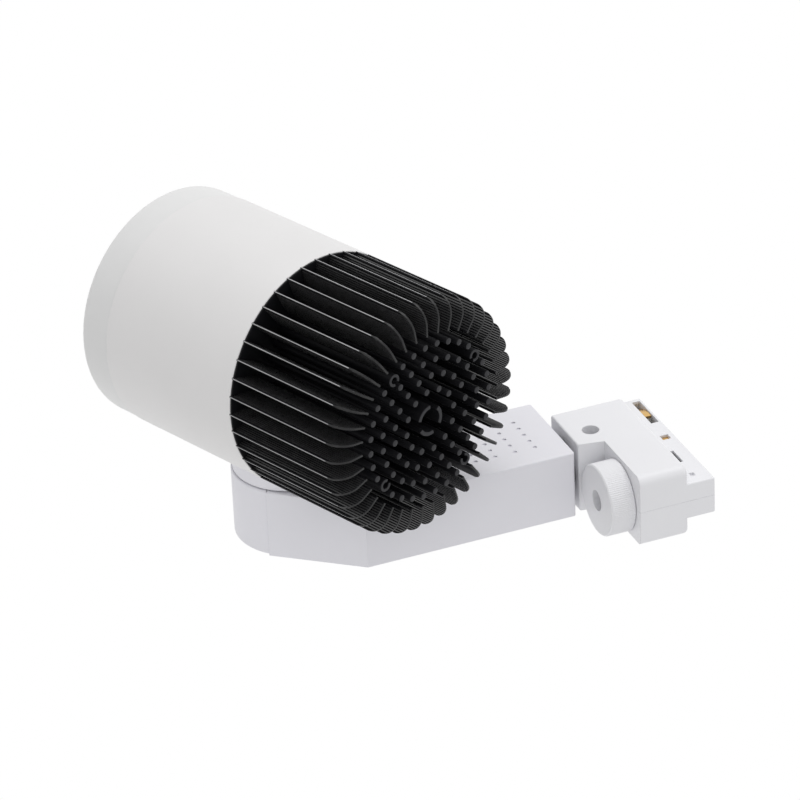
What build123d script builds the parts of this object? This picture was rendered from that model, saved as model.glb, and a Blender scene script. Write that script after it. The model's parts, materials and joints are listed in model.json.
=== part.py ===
from build123d import *
import os
from math import acos, atan2, cos, degrees, hypot, pi, radians, sin, sqrt

# Track spotlight: an adaptor that locks into a ceiling track, a driver box that swivels under it and
# a lamp head that tilts on the box. Millimetres. The origin is the middle of the adaptor's seat.
# X runs along the track, Y across it (the lamp head is on the -Y side), Z up into the track.

# ---- clearances -------------------------------------------------------------------------------
running_fit = 0.06       # radial, a shaft turning in its bore
slip = 0.15              # between pieces that are pushed together
part_gap = 0.3           # between pieces of different bodies that slide past each other
screw_clearance = 0.3    # radial, a screw passing through its hole
curve_fit = 0.02         # between curved faces that rest on each other
over = 1.0               # how far a cut runs past the face it leaves
far = 300.0              # past every face of the lamp
small = 1e-3             # lengths closer than this count as equal

# ---- screws, as shares of the head ------------------------------------------------------------
head_round_share = 0.45      # rounding of the rim, of the head's height
cross_reach_share = 1.2      # length of the cross slot, of the head's radius
cross_width_share = 0.26

# ---- track adaptor ----------------------------------------------------------------------------
neck_length = 85.2
neck_width = 19.0
neck_height = 13.9
neck_wall = 1.6
shoulder_length = 74.9
shoulder_width = 36.7
shoulder_shift = -0.25       # middle of the shoulder from the middle of the neck, along Y
adaptor_height = 38.2        # seat to the bottom of the stem
stem_height = 12.8           # how far the stem reaches below the knob's notch
stem_draft = 2.4             # how far the stem's knob side leans back at its bottom
adaptor_wall = 2.0
nose_round = 4.5
shoulder_round = 2.5
edge_round = 0.8
stem_round = 1.4
parting_bevel = 0.12         # along the line where the two shells meet

# ---- lock knob and its mechanism --------------------------------------------------------------
knob_stem_gap = 0.95
nose_length = 3.65           # knob's rim to the adaptor's knob end
knob_y = 1.0
knob_radius = 17.8
knob_height = 12.8
knob_flutes = 110
flute_depth = 0.22
knob_edge = 0.7
knob_hole_radius = 5.15
knob_hole_depth = 9.1
knob_screw_radius = 1.2
knob_screw_length = 6.0
knob_screw_head = 3.2
knob_screw_head_height = 1.8
lock_shaft_radius = 2.2
shaft_guide_wall = 2.2
shaft_guide_height = 9.0
cam_reach = 13.4             # shaft axis to a wing's tip
cam_width = 7.4
cam_wing_lap = 0.8           # how far a wing reaches past the shaft's axis
cam_hub_radius = 6.2
cam_thickness = 1.2
cam_clip_lip = 1.2
cam_clip_thickness = 0.6
cam_z = 5.4                  # underside of the lock cam above the seat
crank_radius = 5.2
crank_angle = -135.0           # of the crank pins at rest, from +X
crank_thickness = 1.4
crank_hub_radius = 3.2
crank_eye_radius = 2.0
crank_pin_radius = 1.1
link_thickness = 1.4
link_half_width = 1.2
link_eye_wall = 1.0

# ---- contacts ---------------------------------------------------------------------------------
rotor_from_end = 14.0        # contact rotor axis from the adaptor's plain end
rotor_hub_radius = 4.6
rotor_spigot_radius = 2.0
rotor_arm_half_width = 3.2
rotor_arm_reach = 7.3
blade_reach = 10.8           # free end from the rotor axis, along X at rest
blade_offset = 8.3           # root from the rotor axis, along Y at rest
blade_tip_offset = 4.4
blade_bow = 1.0
blade_thickness = 1.2
blade_height = 3.2
contact_slot_length = 22.4
contact_slot_height = 4.0
contact_slot_from_top = 1.5
earth_from_rotor = 26.2
earth_hole_size = 4.2
earth_below_top = 5.0
earth_pin_radius = 1.5
earth_leaf = 0.8
earth_leaf_margin = 1.4      # how far the leaf reaches past its hole
earth_pin_recess = 1.1       # pin's tip below the neck's face
hook_slot_length = 2.8
hook_slot_height = 2.4
hook_from_end = 7.6
hook_z = 5.4
hook_slot_depth = 1.2
lead_block_half = 9.0
lead_block_depth = 9.0
lead_block_drop = 7.0        # seat to the block's top
lead_block_height = 10.0
lead_hole_radius = 1.6
lead_hole_depth = 4.0
lead_hole_pitch = 6.0

# ---- adaptor screws ---------------------------------------------------------------------------
shell_screw_from_notch = 12.9
shell_screw_z = -26.9
nose_screw_from_end = 7.5
nose_screw_z = -11.0
shell_screw_radius = 1.4
shell_screw_head = 2.9
shell_screw_head_height = 2.2
shell_screw_recess = 4.2
shell_screw_recess_depth = 9.0
screw_boss_wall = 1.0
shell_screw_end = 2.0        # screw's tip to the end of its hole

# ---- swivel joint -----------------------------------------------------------------------------
swivel_from_plain_end = 16.1
swivel_gap = 3.2             # driver box to stem
swivel_collar_radius = 12.5
nipple_radius = 4.9
nipple_bore = 3.1
nipple_end = 0.4             # past the adaptor's nut
nipple_tail = 1.5            # past the box's nut
swivel_nut_flats = 13.0
swivel_nut_height = 2.2
swivel_washer_radius = 7.4
swivel_washer_thickness = 0.8

# ---- driver box -------------------------------------------------------------------------------
box_width = 52.7
box_thickness = 35.0
box_length = 108.4           # straight part, along Z
box_front_from_swivel = 19.8
box_shift = 0.5              # middle of the box along Y
box_wall = 2.0
box_corner = 1.6
cover_thickness = 1.8
vent_radius = 1.0
vent_depth = 0.7
vent_columns = 5
vent_rows = 4
vent_column_pitch = 6.45
vent_row_pitch = 10.3
vent_from_top = 15.1
cover_screw_inset = 5.6
cover_screw_radius = 1.2
cover_screw_head = 2.3
cover_screw_head_height = 1.4
cover_screw_length = 9.0
cover_screw_lift = 36.0      # lower rear screw above the lower front one
cover_post_radius = 3.4
cover_hole_depth = 14.0

# ---- pivot ------------------------------------------------------------------------------------
pivot_behind_back = 0.5      # pivot axis inside the box's back face
pivot_drop = 16.2            # pivot axis below the box's straight part
turret_radius = 29.8
turret_step = 2.0            # turret is smaller by this where the box wraps it
turret_wrap = 3.8            # how far the box's sides run past the pivot axis
turret_lip = 0.7             # the box's slanted sides stand proud of the turret
turret_wall = 2.4
turret_top = 4.0
turret_boss_wall = 4.5
turret_boss_height = 2.0
turret_cap_thickness = 2.0
turret_cap_skirt = 1.6
turret_cap_depth = 6.0
turret_screw_radius = 1.4
turret_screw_length = 10.0
turret_screw_head = 2.6
turret_screw_head_height = 1.8
turret_screw_spread = 15.0
cable_window = 12.0
head_gap = 1.2               # turret top to the lowest line of the lamp tube
saddle_radius = 29.0
saddle_lift = 0.5
pivot_bolt_radius = 5.0
pivot_bolt_bore = 3.2
pivot_bolt_head = 8.5
pivot_bolt_head_height = 2.6
pivot_bolt_length = 20.0     # under the head
inner_pad_radius = 13.0
inner_pad_height = 2.6
bolt_seat_rise = 0.6         # the pad's middle above its lowest line
friction_washer_radius = 14.0
spring_washer_radius = 9.0
spring_washer_thickness = 1.2
pivot_nut_flats = 15.0
pivot_nut_height = 4.0
saddle_screw_radius = 1.4
saddle_screw_spread = 21.0
saddle_screw_head = 2.6
saddle_screw_head_height = 1.8
saddle_screw_angles = (180, 60, 300)
saddle_screw_floor = 2.0     # screw's tip above the saddle's underside

# ---- lamp head --------------------------------------------------------------------------------
rest_tilt = 67.65            # lamp axis from straight down, towards -X
tube_radius = 58.3
tube_wall = 2.0
tube_front = 62.4            # pivot axis to the front rim
tube_rear = 23.6             # pivot axis to the rear rim
bulkhead_from_rear = 7.0
bulkhead_thickness = 2.0
bulkhead_opening = 24.0
ring_length = 18.5
ring_inset = 0.4             # the frosted ring is a little smaller than the tube
ring_round = 3.0
ring_spigot = 7.0
ring_spigot_wall = 1.8
glass_wall = 4.75            # of the ring, round the glass
glass_thickness = 3.0
glass_behind_front = 9.0
glass_lip = 3.0
glass_edge = 0.3
reflector_throat = 11.5
reflector_wall = 1.2
reflector_rim_flange = 3.0
reflector_belly_out = 0.66   # the bowl's middle point, as shares of its width and depth
reflector_belly_back = 0.42

# ---- heat sink --------------------------------------------------------------------------------
sink_length = 72.9           # rear rim of the tube to the ends of the fins
sink_flange = 0.8            # of the base, over the tube's rear rim
sink_pattern_angle = 35.6    # turns the whole fin and pin pattern
sink_root = 0.5              # how deep pins and bosses run into the base
fin_count = 40
fin_thickness = 1.25
fin_inner_radius = 43.5
fin_corner = 9.0
pin_first_ring = 15.3
pin_ring_pitch = 7.7
pin_counts = (12, 18, 24, 32)
pin_offset_count = 18        # the ring of this count is turned by half a step
pin_radius = 1.6
pin_foot = 0.2
pin_taper = 0.15
boss_radius = 36.9
boss_count = 4
boss_outer = 3.1
boss_inner = 1.7
boss_slit = 2.2
core_arc_radius = 6.8
core_arc_width = 1.9
core_arc_span = 76.0
core_arc_angle = 30.0        # of the first core arc, back from the pattern's start
core_arc_count = 3
pedestal_radius = 23.6
sink_screw_radius = 1.4
sink_screw_head = 2.8
sink_screw_head_height = 1.8
sink_screw_grip = 8.0

# ---- light source -----------------------------------------------------------------------------
pad_size = 30.0
pad_thickness = 0.4
led_size = 28.0
led_thickness = 1.6
phosphor_radius = 9.0
phosphor_height = 0.8
holder_radius = 21.5
holder_height = 3.6
holder_opening = 10.6
holder_screw_circle = 18.2
holder_screw_radius = 1.3
holder_screw_grip = 5.0
holder_screw_head = 2.4
holder_screw_head_height = 1.5
lead_radius = 1.6
mains_radius = 1.8
lead_end_drop = 1.3          # mains lead's end below the nipple's rim
lead_bend = 3.0
led_lead_bend = 5.0
led_lead_lift = 4.0          # above the pivot bolt's head
led_lead_front = 3.5         # in front of the light source
led_lead_slack = 8.0         # outside the holder's rim
led_lead_tail = 5.0          # from the light source's edge
adaptor_lead_shift = 5.0     # of the block's outlet from the swivel, along X
adaptor_lead_run = 6.0       # straight, below the block
adaptor_lead_side = 3.2
adaptor_lead_lift = 4.4      # last bend above the nipple
mains_lead_drop = 9.0        # first bend below the box's top
mains_lead_tail = 6.0        # last bend off the board
output_lead_bend = 6.0
output_lead_last_bend = 4.5

# ---- driver electronics -----------------------------------------------------------------------
board_thickness = 1.6
board_stand_off = 5.0
board_margin = 2.2
board_length = 84.0
sheet_thickness = 0.4
pillar_radius = 2.0
can_round_share = 0.14       # rounding of a can's rims, of its radius
core_half_x = 12.0
core_half_z = 9.5
core_height = 19.0
bobbin_half_x = 8.5
bobbin_half_z = 12.5
bobbin_height = 16.0
input_can_radius = 6.2
input_can_height = 20.0
output_can_radius = 5.0
output_can_height = 17.0
fuse_half_x = 3.0
fuse_half_z = 6.5
fuse_height = 7.0
film_half_x = 3.2
film_half_z = 8.0
film_height = 12.0
chip_half_x = 2.4
chip_half_z = 5.0
chip_height = 15.0
terminal_half_x = 5.5
terminal_half_z = 3.6
terminal_height = 9.0
choke_ring_radius = 4.6
choke_wire_radius = 2.2

# ---- derived places ---------------------------------------------------------------------------
neck_end = neck_length / 2
knob_end_x = neck_end
plain_end_x = knob_end_x - shoulder_length
shoulder_low_y = shoulder_shift - shoulder_width / 2
shoulder_high_y = shoulder_shift + shoulder_width / 2
stem_bottom = -adaptor_height
notch_roof = stem_bottom + stem_height
notch_x = knob_end_x - nose_length - 2 * knob_radius - knob_stem_gap
knob_x = knob_end_x - nose_length - knob_radius
swivel_x = plain_end_x + swivel_from_plain_end
knob_top = notch_roof - slip
knob_bottom = knob_top - knob_height
rotor_x = -neck_end + rotor_from_end
rotor_y = 0.0
link_z = neck_wall + part_gap
crank_z = link_z + link_thickness + slip
slot_top = neck_height - contact_slot_from_top
slot_mid = slot_top - contact_slot_height / 2
earth_x = rotor_x + earth_from_rotor
earth_z = neck_height - earth_below_top

box_top = stem_bottom - swivel_gap
box_bottom = box_top - box_length
box_front = swivel_x + box_front_from_swivel
box_back = box_front - box_width
box_low_y = box_shift - box_thickness / 2
box_high_y = box_shift + box_thickness / 2
pivot_x = box_back + pivot_behind_back
pivot_z = box_bottom - pivot_drop
turret_seat_radius = turret_radius - turret_step
side_radius = turret_radius + turret_lip
corner_angle = atan2(box_bottom - pivot_z, box_front - pivot_x)
corner_reach = hypot(box_bottom - pivot_z, box_front - pivot_x)
tangent_angle = corner_angle - acos(side_radius / corner_reach)
side_angle = tangent_angle + pi / 2
head_axis_y = box_low_y - head_gap - tube_radius
board_y = box_high_y - cover_thickness - board_stand_off
board_top = box_top - box_wall - board_margin
board_bottom = board_top - board_length
ring_radius = tube_radius - ring_inset
ring_front = -tube_front - ring_length
glass_radius = ring_radius - glass_wall - slip
glass_front = ring_front + glass_behind_front
tube_bore = tube_radius - tube_wall
bulkhead_rear = tube_rear - bulkhead_from_rear + bulkhead_thickness
sink_front = bulkhead_rear + slip
sink_end = tube_rear + sink_length
pedestal_front = bulkhead_rear - bulkhead_thickness
pad_front = pedestal_front - pad_thickness
led_front = pad_front - led_thickness


# ---- building helpers -------------------------------------------------------------------------
def block(x0, x1, y0, y1, z0, z1):
    """A box between two corners."""
    middle = Pos((x0 + x1) / 2, (y0 + y1) / 2, (z0 + z1) / 2)
    return middle * Box(abs(x1 - x0), abs(y1 - y0), abs(z1 - z0))


def post(radius, x, y, z0, z1):
    """A cylinder standing along Z."""
    return Pos(x, y, (z0 + z1) / 2) * Cylinder(radius, abs(z1 - z0))


def peg(radius, x, z, y0, y1):
    """A cylinder lying along Y."""
    return Pos(x, (y0 + y1) / 2, z) * Rot(90, 0, 0) * Cylinder(radius, abs(y1 - y0))


def slab(sketch, y0, y1):
    """A sketch drawn in X and Z, made solid from y0 to y1."""
    return extrude(Plane.XZ.offset(-y1) * sketch, y1 - y0)


def plate(sketch, z0, z1):
    """A sketch drawn in X and Y, made solid from z0 to z1."""
    return extrude(Pos(0, 0, z0) * sketch, z1 - z0)


def turned(points):
    """A solid of revolution about Z from a closed outline of (radius, z) points."""
    outline = make_face(Polyline(*points, close=True))
    return revolve(Plane.XZ * outline, Axis.Z)


def joined(pieces):
    """One solid from several that touch or overlap."""
    pieces = list(pieces)
    return pieces[0].fuse(*pieces[1:])


def hex_nut(flats, bore, height):
    """A hexagon nut along Z, its underside at 0."""
    outline = RegularPolygon(flats / 2, 6, major_radius=False) - Circle(bore)
    return extrude(outline, height)


def screw(radius, length, head_radius, head_height):
    """A pan-head screw: the head's underside is at 0, the shank runs down to -length."""
    shank = Pos(0, 0, -length / 2) * Cylinder(radius, length)
    head = Pos(0, 0, head_height / 2) * Cylinder(head_radius, head_height)
    rim = head.edges().filter_by(GeomType.CIRCLE).sort_by(Axis.Z)[-1]
    head = fillet(rim, head_height * head_round_share)
    bar = head_radius * cross_reach_share
    width = head_radius * cross_width_share
    cross = Box(bar, width, head_height) + Box(width, bar, head_height)
    return joined([head, shank]) - Pos(0, 0, head_height) * cross


def toward_low_y(x, y, z):
    """Stands a piece made along Z so that its top faces -Y."""
    return Pos(x, y, z) * Rot(90, 0, 0)


def toward_high_y(x, y, z):
    """Stands a piece made along Z so that its top faces +Y."""
    return Pos(x, y, z) * Rot(-90, 0, 0)


def save(name, solid):
    """Writes one node."""
    export_step(solid, os.path.join("parts", name + ".step"))


# ---- track adaptor ----------------------------------------------------------------------------
def adaptor_outside():
    """The closed outer form of both shells: shoulder, stem and neck."""
    shoulder = block(plain_end_x, knob_end_x, shoulder_low_y, shoulder_high_y, stem_bottom, 0)
    foot_x = notch_x - stem_draft * (stem_height + over) / stem_height
    corners = [(notch_x, notch_roof), (foot_x, stem_bottom - over),
               (knob_end_x + over, stem_bottom - over), (knob_end_x + over, notch_roof)]
    outline = make_face(Polyline(*corners, close=True))
    notch = slab(outline, shoulder_low_y - over, shoulder_high_y + over)
    shoulder = shoulder - notch
    upright = shoulder.edges().filter_by(Axis.Z).group_by(Axis.X)[-1].sort_by(Axis.Y)
    shoulder = fillet(upright[0], nose_round)
    upright = shoulder.edges().filter_by(Axis.Z).group_by(Axis.X)[-1].sort_by(Axis.Y)
    shoulder = fillet(upright[-1], shoulder_round)
    seat_edges = shoulder.faces().sort_by(Axis.Z)[-1].edges().filter_by(Axis.X)
    shoulder = fillet(seat_edges, shoulder_round)
    stem_edges = shoulder.edges().filter_by(Axis.Z).group_by(Axis.X)[0]
    shoulder = fillet(stem_edges, stem_round)
    shoulder = fillet(shoulder.faces().sort_by(Axis.Z)[0].edges(), edge_round)
    neck = block(-neck_end, neck_end, -neck_width / 2, neck_width / 2, -shoulder_round, neck_height)
    neck = fillet(neck.edges().filter_by(Axis.Z), edge_round)
    neck = fillet(neck.faces().sort_by(Axis.Z)[-1].edges(), edge_round)
    neck = neck - block(-neck_end - over, plain_end_x + adaptor_wall, -neck_width, neck_width,
                        -shoulder_round - over, 0)
    return joined([shoulder, neck])


def adaptor_hollow():
    """The room inside the shells."""
    inner_low = shoulder_low_y + adaptor_wall
    inner_high = shoulder_high_y - adaptor_wall
    shoulder_room = block(plain_end_x + adaptor_wall, knob_end_x - adaptor_wall,
                          inner_low, inner_high, notch_roof + adaptor_wall, -adaptor_wall)
    stem_room = block(plain_end_x + adaptor_wall, notch_x - stem_draft - adaptor_wall,
                      inner_low, inner_high, stem_bottom + adaptor_wall, -adaptor_wall)
    half = neck_width / 2 - neck_wall
    neck_room = block(-neck_end + neck_wall, neck_end - neck_wall, -half, half,
                      neck_wall, slot_top)
    rotor_shelf = rotor_x + rotor_hub_radius
    throat = block(rotor_shelf, knob_end_x - adaptor_wall, -half, half, -adaptor_wall, neck_wall)
    return joined([shoulder_room, stem_room, neck_room, throat])


def shell_screw_places():
    """Axis of each shell screw as (x, z) and the side its head is on, -1 or +1 along Y."""
    return [(notch_x - shell_screw_from_notch, shell_screw_z, -1),
            (knob_end_x - nose_screw_from_end, nose_screw_z, 1)]


def shell_side_y(side):
    """Y of the shoulder's outer face on one side."""
    return shoulder_low_y if side < 0 else shoulder_high_y


def adaptor_additions():
    """Screw bosses and the lock shaft's guide, inside the hollow."""
    boss = shell_screw_recess + screw_boss_wall
    bosses = [peg(boss, x, z, shoulder_low_y + edge_round, shoulder_high_y - edge_round)
              for x, z, side in shell_screw_places()]
    guide = post(lock_shaft_radius + shaft_guide_wall, knob_x, knob_y,
                 notch_roof + edge_round, notch_roof + shaft_guide_height)
    return joined(bosses + [guide])


def adaptor_cuts():
    """Every hole through the adaptor's shells."""
    cuts = []
    for x, z, side in shell_screw_places():
        face = shell_side_y(side)
        seat = face - side * shell_screw_recess_depth
        end = shell_side_y(-side) + side * (2 * adaptor_wall + shell_screw_end)
        cuts.append(peg(shell_screw_recess, x, z, face + side * over, seat))
        cuts.append(peg(shell_screw_radius + screw_clearance, x, z, seat + side * over, 0))
        cuts.append(peg(shell_screw_radius + slip / 2, x, z, side * over, end))
    cuts.append(post(lock_shaft_radius + running_fit, knob_x, knob_y,
                     notch_roof - over, notch_roof + shaft_guide_height + over))
    cuts.append(post(nipple_radius + running_fit, swivel_x, 0,
                     stem_bottom - over, stem_bottom + adaptor_wall + over))
    cuts.append(post(rotor_spigot_radius + running_fit, rotor_x, rotor_y,
                     -adaptor_wall - over, neck_wall + over))
    slot_half = contact_slot_length / 2
    cuts.append(block(rotor_x - slot_half, rotor_x + slot_half, -neck_width, neck_width,
                      slot_top - contact_slot_height, slot_top))
    cuts += cam_slits()
    half = earth_hole_size / 2
    cuts.append(block(earth_x - half, earth_x + half, -neck_width, 0,
                      earth_z - half, earth_z + half))
    hook_x = knob_end_x - hook_from_end
    cuts.append(block(hook_x - hook_slot_length / 2, hook_x + hook_slot_length / 2, -neck_width,
                      -neck_width / 2 + hook_slot_depth, hook_z - hook_slot_height / 2,
                      hook_z + hook_slot_height / 2))
    return cuts


def adaptor_shells():
    """The adaptor's two half shells, parted at Y = 0."""
    inside = adaptor_additions() & adaptor_outside()
    shell = joined([adaptor_outside() - adaptor_hollow(), inside])
    shell = shell.cut(*adaptor_cuts())
    low_half = shell & block(-far, far, -far, 0, -far, far)
    high_half = shell & block(-far, far, 0, far, -far, far)
    groove = parting_groove()
    return largest(low_half - groove), largest(high_half - groove)


def parting_groove():
    """V grooves down the adaptor's ends and along the neck's top, where the shells meet."""
    side = parting_bevel * sqrt(2)
    bars = []
    for x, z0, z1 in ((knob_end_x, notch_roof - over, neck_height + over),
                      (-neck_end, neck_wall, neck_height + over),
                      (plain_end_x, stem_bottom - over, -adaptor_wall)):
        bars.append(Pos(x, 0, (z0 + z1) / 2) * Rot(0, 0, 45) * Box(side, side, z1 - z0))
    bars.append(Pos(0, 0, neck_height) * Rot(45, 0, 0) * Box(2 * neck_length, side, side))
    return joined(bars)


def largest(solid):
    """The main solid of a cut result."""
    return Part() + solid.solids().sort_by(SortBy.VOLUME)[-1]


def adaptor_screws():
    """The screws that clamp the two shells, one from each side."""
    made = []
    for x, z, side in shell_screw_places():
        head_y = shell_side_y(side) - side * shell_screw_recess_depth
        tip_y = shell_side_y(-side) + side * (2 * adaptor_wall + 2 * shell_screw_end)
        one = screw(shell_screw_radius, abs(tip_y - head_y), shell_screw_head,
                    shell_screw_head_height)
        stand = toward_low_y if side < 0 else toward_high_y
        made.append(stand(x, head_y, z) * one)
    return made


def earth_contact():
    """Brass spring pin behind the square hole, on a leaf held to the neck's inner wall."""
    inner = -neck_width / 2 + neck_wall
    half = earth_hole_size / 2 + earth_leaf_margin
    leaf = block(earth_x - half, earth_x + half, inner, inner + earth_leaf,
                 earth_z - half, earth_z + half)
    tip = -neck_width / 2 + earth_pin_recess
    pin = peg(earth_pin_radius, earth_x, earth_z, inner + earth_leaf, tip)
    return joined([leaf, pin])


def lead_block():
    """Terminal block that joins the contacts' leads to the mains lead."""
    low_y = shoulder_low_y + adaptor_wall
    face = low_y + lead_block_depth
    body = block(swivel_x - lead_block_half, swivel_x + lead_block_half, low_y, face,
                 lead_block_bottom(), -lead_block_drop)
    middle = lead_block_bottom() + lead_block_height / 2
    for k in (-1, 0, 1):
        x = swivel_x + k * lead_hole_pitch
        body = body - peg(lead_hole_radius, x, middle, face - lead_hole_depth, face + over)
    return body


def lead_block_bottom():
    """Z of the terminal block's underside."""
    return -lead_block_drop - lead_block_height


# ---- lock knob --------------------------------------------------------------------------------
def lock_knob():
    """Knurled knob with a deep hole for its screw."""
    rim = []
    for k in range(knob_flutes * 2):
        angle = pi * k / knob_flutes
        radius = knob_radius if k % 2 else knob_radius - flute_depth
        rim.append((knob_x + radius * cos(angle), knob_y + radius * sin(angle)))
    body = plate(make_face(Polyline(*rim, close=True)), knob_bottom, knob_top)
    flat = knob_radius - knob_edge
    trim = turned([(0, knob_bottom), (flat, knob_bottom), (knob_radius, knob_bottom + knob_edge),
                   (knob_radius, knob_top - knob_edge), (flat, knob_top), (0, knob_top)])
    body = body & (Pos(knob_x, knob_y, 0) * trim)
    hole_top = knob_bottom + knob_hole_depth
    body = body - post(knob_hole_radius, knob_x, knob_y, knob_bottom - over, hole_top)
    return body - post(lock_shaft_radius + slip, knob_x, knob_y, hole_top - over, knob_top + over)


def lock_knob_screw():
    """Screw in the knob's hole that holds it to the shaft."""
    head_z = knob_bottom + knob_hole_depth
    one = screw(knob_screw_radius, knob_screw_length, knob_screw_head, knob_screw_head_height)
    return Pos(knob_x, knob_y, head_z) * Rot(180, 0, 0) * one


def crank(x, y, z, shaft_radius, shaft_z0, shaft_z1, hub):
    """A shaft with a crank whose pin points down, at the rest angle."""
    pin_x = x + crank_radius * cos(radians(crank_angle))
    pin_y = y + crank_radius * sin(radians(crank_angle))
    web = hull_of([(x, y, hub), (pin_x, pin_y, crank_eye_radius)])
    arm = plate(web, z, z + crank_thickness)
    pin = post(crank_pin_radius, pin_x, pin_y, link_z - slip, z + crank_thickness / 2)
    return joined([post(shaft_radius, x, y, shaft_z0, shaft_z1), arm, pin])


def hull_of(circles):
    """A plate outline round two circles given as (x, y, radius)."""
    (x0, y0, r0), (x1, y1, r1) = circles
    reach = hypot(x1 - x0, y1 - y0)
    turn = atan2(y1 - y0, x1 - x0)
    lean = acos((r0 - r1) / reach)
    corners = []
    for x, y, r, side in ((x0, y0, r0, 1), (x1, y1, r1, 1), (x1, y1, r1, -1), (x0, y0, r0, -1)):
        angle = turn + side * lean
        corners.append((x + r * cos(angle), y + r * sin(angle)))
    web = make_face(Polyline(*corners, close=True))
    return web + Pos(x0, y0) * Circle(r0) + Pos(x1, y1) * Circle(r1)


def lock_shaft():
    """Shaft from the knob to the cam, with the crank that drives the contacts."""
    low = knob_bottom + knob_hole_depth + slip
    high = cam_z + cam_thickness
    shaft = crank(knob_x, knob_y, crank_z, lock_shaft_radius, low, high, crank_hub_radius)
    return shaft - post(knob_screw_radius + slip / 2, knob_x, knob_y, low - over,
                        low + knob_screw_length)


def cam_slits():
    """Openings in the neck's two sides that the cam's wings swing out through."""
    low = cam_z - slip
    high = cam_z + cam_thickness + slip
    slits = []
    for side, wall in ((-1, neck_width / 2 + knob_y), (1, neck_width / 2 - knob_y)):
        swept = sqrt(cam_reach ** 2 - (wall - neck_wall) ** 2) + part_gap
        edges = (knob_x + side * swept, knob_x - side * (cam_wing_lap + part_gap))
        slits.append(block(min(edges), max(edges), 0, side * neck_width, low, high))
    return slits


def lock_cam():
    """Two-winged cam that turns under the track's lips."""
    wing = Pos(-cam_reach / 2, cam_width / 2 - cam_wing_lap) * Rectangle(cam_reach, cam_width)
    wing = wing & Circle(cam_reach)
    blank = wing + Rot(0, 0, 180) * wing + Circle(cam_hub_radius)
    blank = blank - Circle(lock_shaft_radius + slip / 2)
    return plate(Pos(knob_x, knob_y) * blank, cam_z, cam_z + cam_thickness)


def cam_clip():
    """Cap above the cam that keeps it on its shaft."""
    z0 = cam_z + cam_thickness
    return post(lock_shaft_radius + cam_clip_lip, knob_x, knob_y, z0, z0 + cam_clip_thickness)


def contact_link():
    """Bar that carries the knob's turn to the contact rotor."""
    shift_x = crank_radius * cos(radians(crank_angle))
    shift_y = crank_radius * sin(radians(crank_angle))
    ends = [(knob_x + shift_x, knob_y + shift_y), (rotor_x + shift_x, rotor_y + shift_y)]
    eye = crank_pin_radius + running_fit
    outline = hull_of([(*end, link_half_width) for end in ends])
    for x, y in ends:
        outline = outline + Pos(x, y) * Circle(eye + link_eye_wall)
    for x, y in ends:
        outline = outline - Pos(x, y) * Circle(eye)
    return plate(outline, link_z, link_z + link_thickness)


def contact_rotor():
    """Moulded rotor that carries both contact blades."""
    z0 = slot_mid - blade_height / 2
    z1 = slot_mid + blade_height / 2
    crank_part = crank(rotor_x, rotor_y, crank_z, rotor_spigot_radius, -adaptor_wall - slip,
                       slot_mid, crank_hub_radius)
    hub = post(rotor_hub_radius, rotor_x, rotor_y, z0, z1)
    arm = block(rotor_x - rotor_arm_half_width, rotor_x + rotor_arm_half_width,
                rotor_y - rotor_arm_reach, rotor_y + rotor_arm_reach, z0, z1)
    return joined([crank_part, hub, arm])


def contact_blade(side):
    """Bowed brass blade on one side of the rotor, its free end towards side * X."""
    half = blade_thickness / 2
    lines = []
    for offset in (half, -half):
        tip = (blade_reach, blade_tip_offset + offset)
        waist = (blade_reach / 2, (blade_offset + blade_tip_offset) / 2 + blade_bow + offset)
        root = (-rotor_arm_half_width, blade_offset + offset)
        lines.append((tip, waist, root))
    (tip, waist, root), (tip_in, waist_in, root_in) = lines
    outline = Curve() + [ThreePointArc(tip, waist, root), Line(root, root_in),
                         ThreePointArc(root_in, waist_in, tip_in), Line(tip_in, tip)]
    turn = Rot(0, 0, 0 if side > 0 else 180)
    blade = plate(turn * make_face(outline), slot_mid - blade_height / 2, slot_mid + blade_height / 2)
    return Pos(rotor_x, rotor_y, 0) * blade


# ---- driver box -------------------------------------------------------------------------------
def about_pivot(radius, angle):
    """A point (x, z) at an angle round the pivot axis."""
    return (pivot_x + radius * cos(angle), pivot_z + radius * sin(angle))


def box_outline(inset):
    """The dog-leg outline of the box in X and Z; its end wraps past the turret's middle."""
    radius = side_radius - inset
    front = box_front - inset
    back = box_back + inset
    top = box_top - inset
    ux, uz = joint_direction()
    corners = []
    for angle, knee_x in ((tangent_angle, front), (tangent_angle + pi, back)):
        x, z = about_pivot(radius, angle)
        knee_z = z + (knee_x - x) * uz / ux
        corners.append(((x - turret_wrap * ux, z - turret_wrap * uz), (knee_x, knee_z)))
    (near, front_knee), (far, back_knee) = corners
    outline = Polyline(near, front_knee, (front, top), (back, top), back_knee, far, close=True)
    return make_face(outline)


def turret_disc(extra):
    """The part of the turret's plan that the box wraps, larger by a clearance."""
    return Pos(pivot_x, pivot_z) * Circle(turret_seat_radius + extra)


def turret_plan():
    """The turret's plan: full radius outside the box, smaller where the box wraps it."""
    free = Rectangle(2 * turret_radius, 3 * turret_radius)
    free = Pos(-turret_radius - turret_wrap - slip, 0) * free
    free = Rot(0, 0, degrees(side_angle)) * free
    seat = Circle(turret_seat_radius)
    return Pos(pivot_x, pivot_z) * (Circle(turret_radius) & free) + Pos(pivot_x, pivot_z) * seat


def cover_screw_places():
    """Axis of each cover screw as (x, z)."""
    left = box_back + cover_screw_inset
    right = box_front - cover_screw_inset
    top = box_top - cover_screw_inset
    low = box_bottom + cover_screw_inset
    return [(left, top), (right, top), (right, low), (left, low + cover_screw_lift)]


def turret_screw_places():
    """Axis of each screw between turret and box, as an (offset along the joint, y)."""
    return [(-turret_screw_spread, box_shift), (turret_screw_spread, box_shift)]


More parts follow.
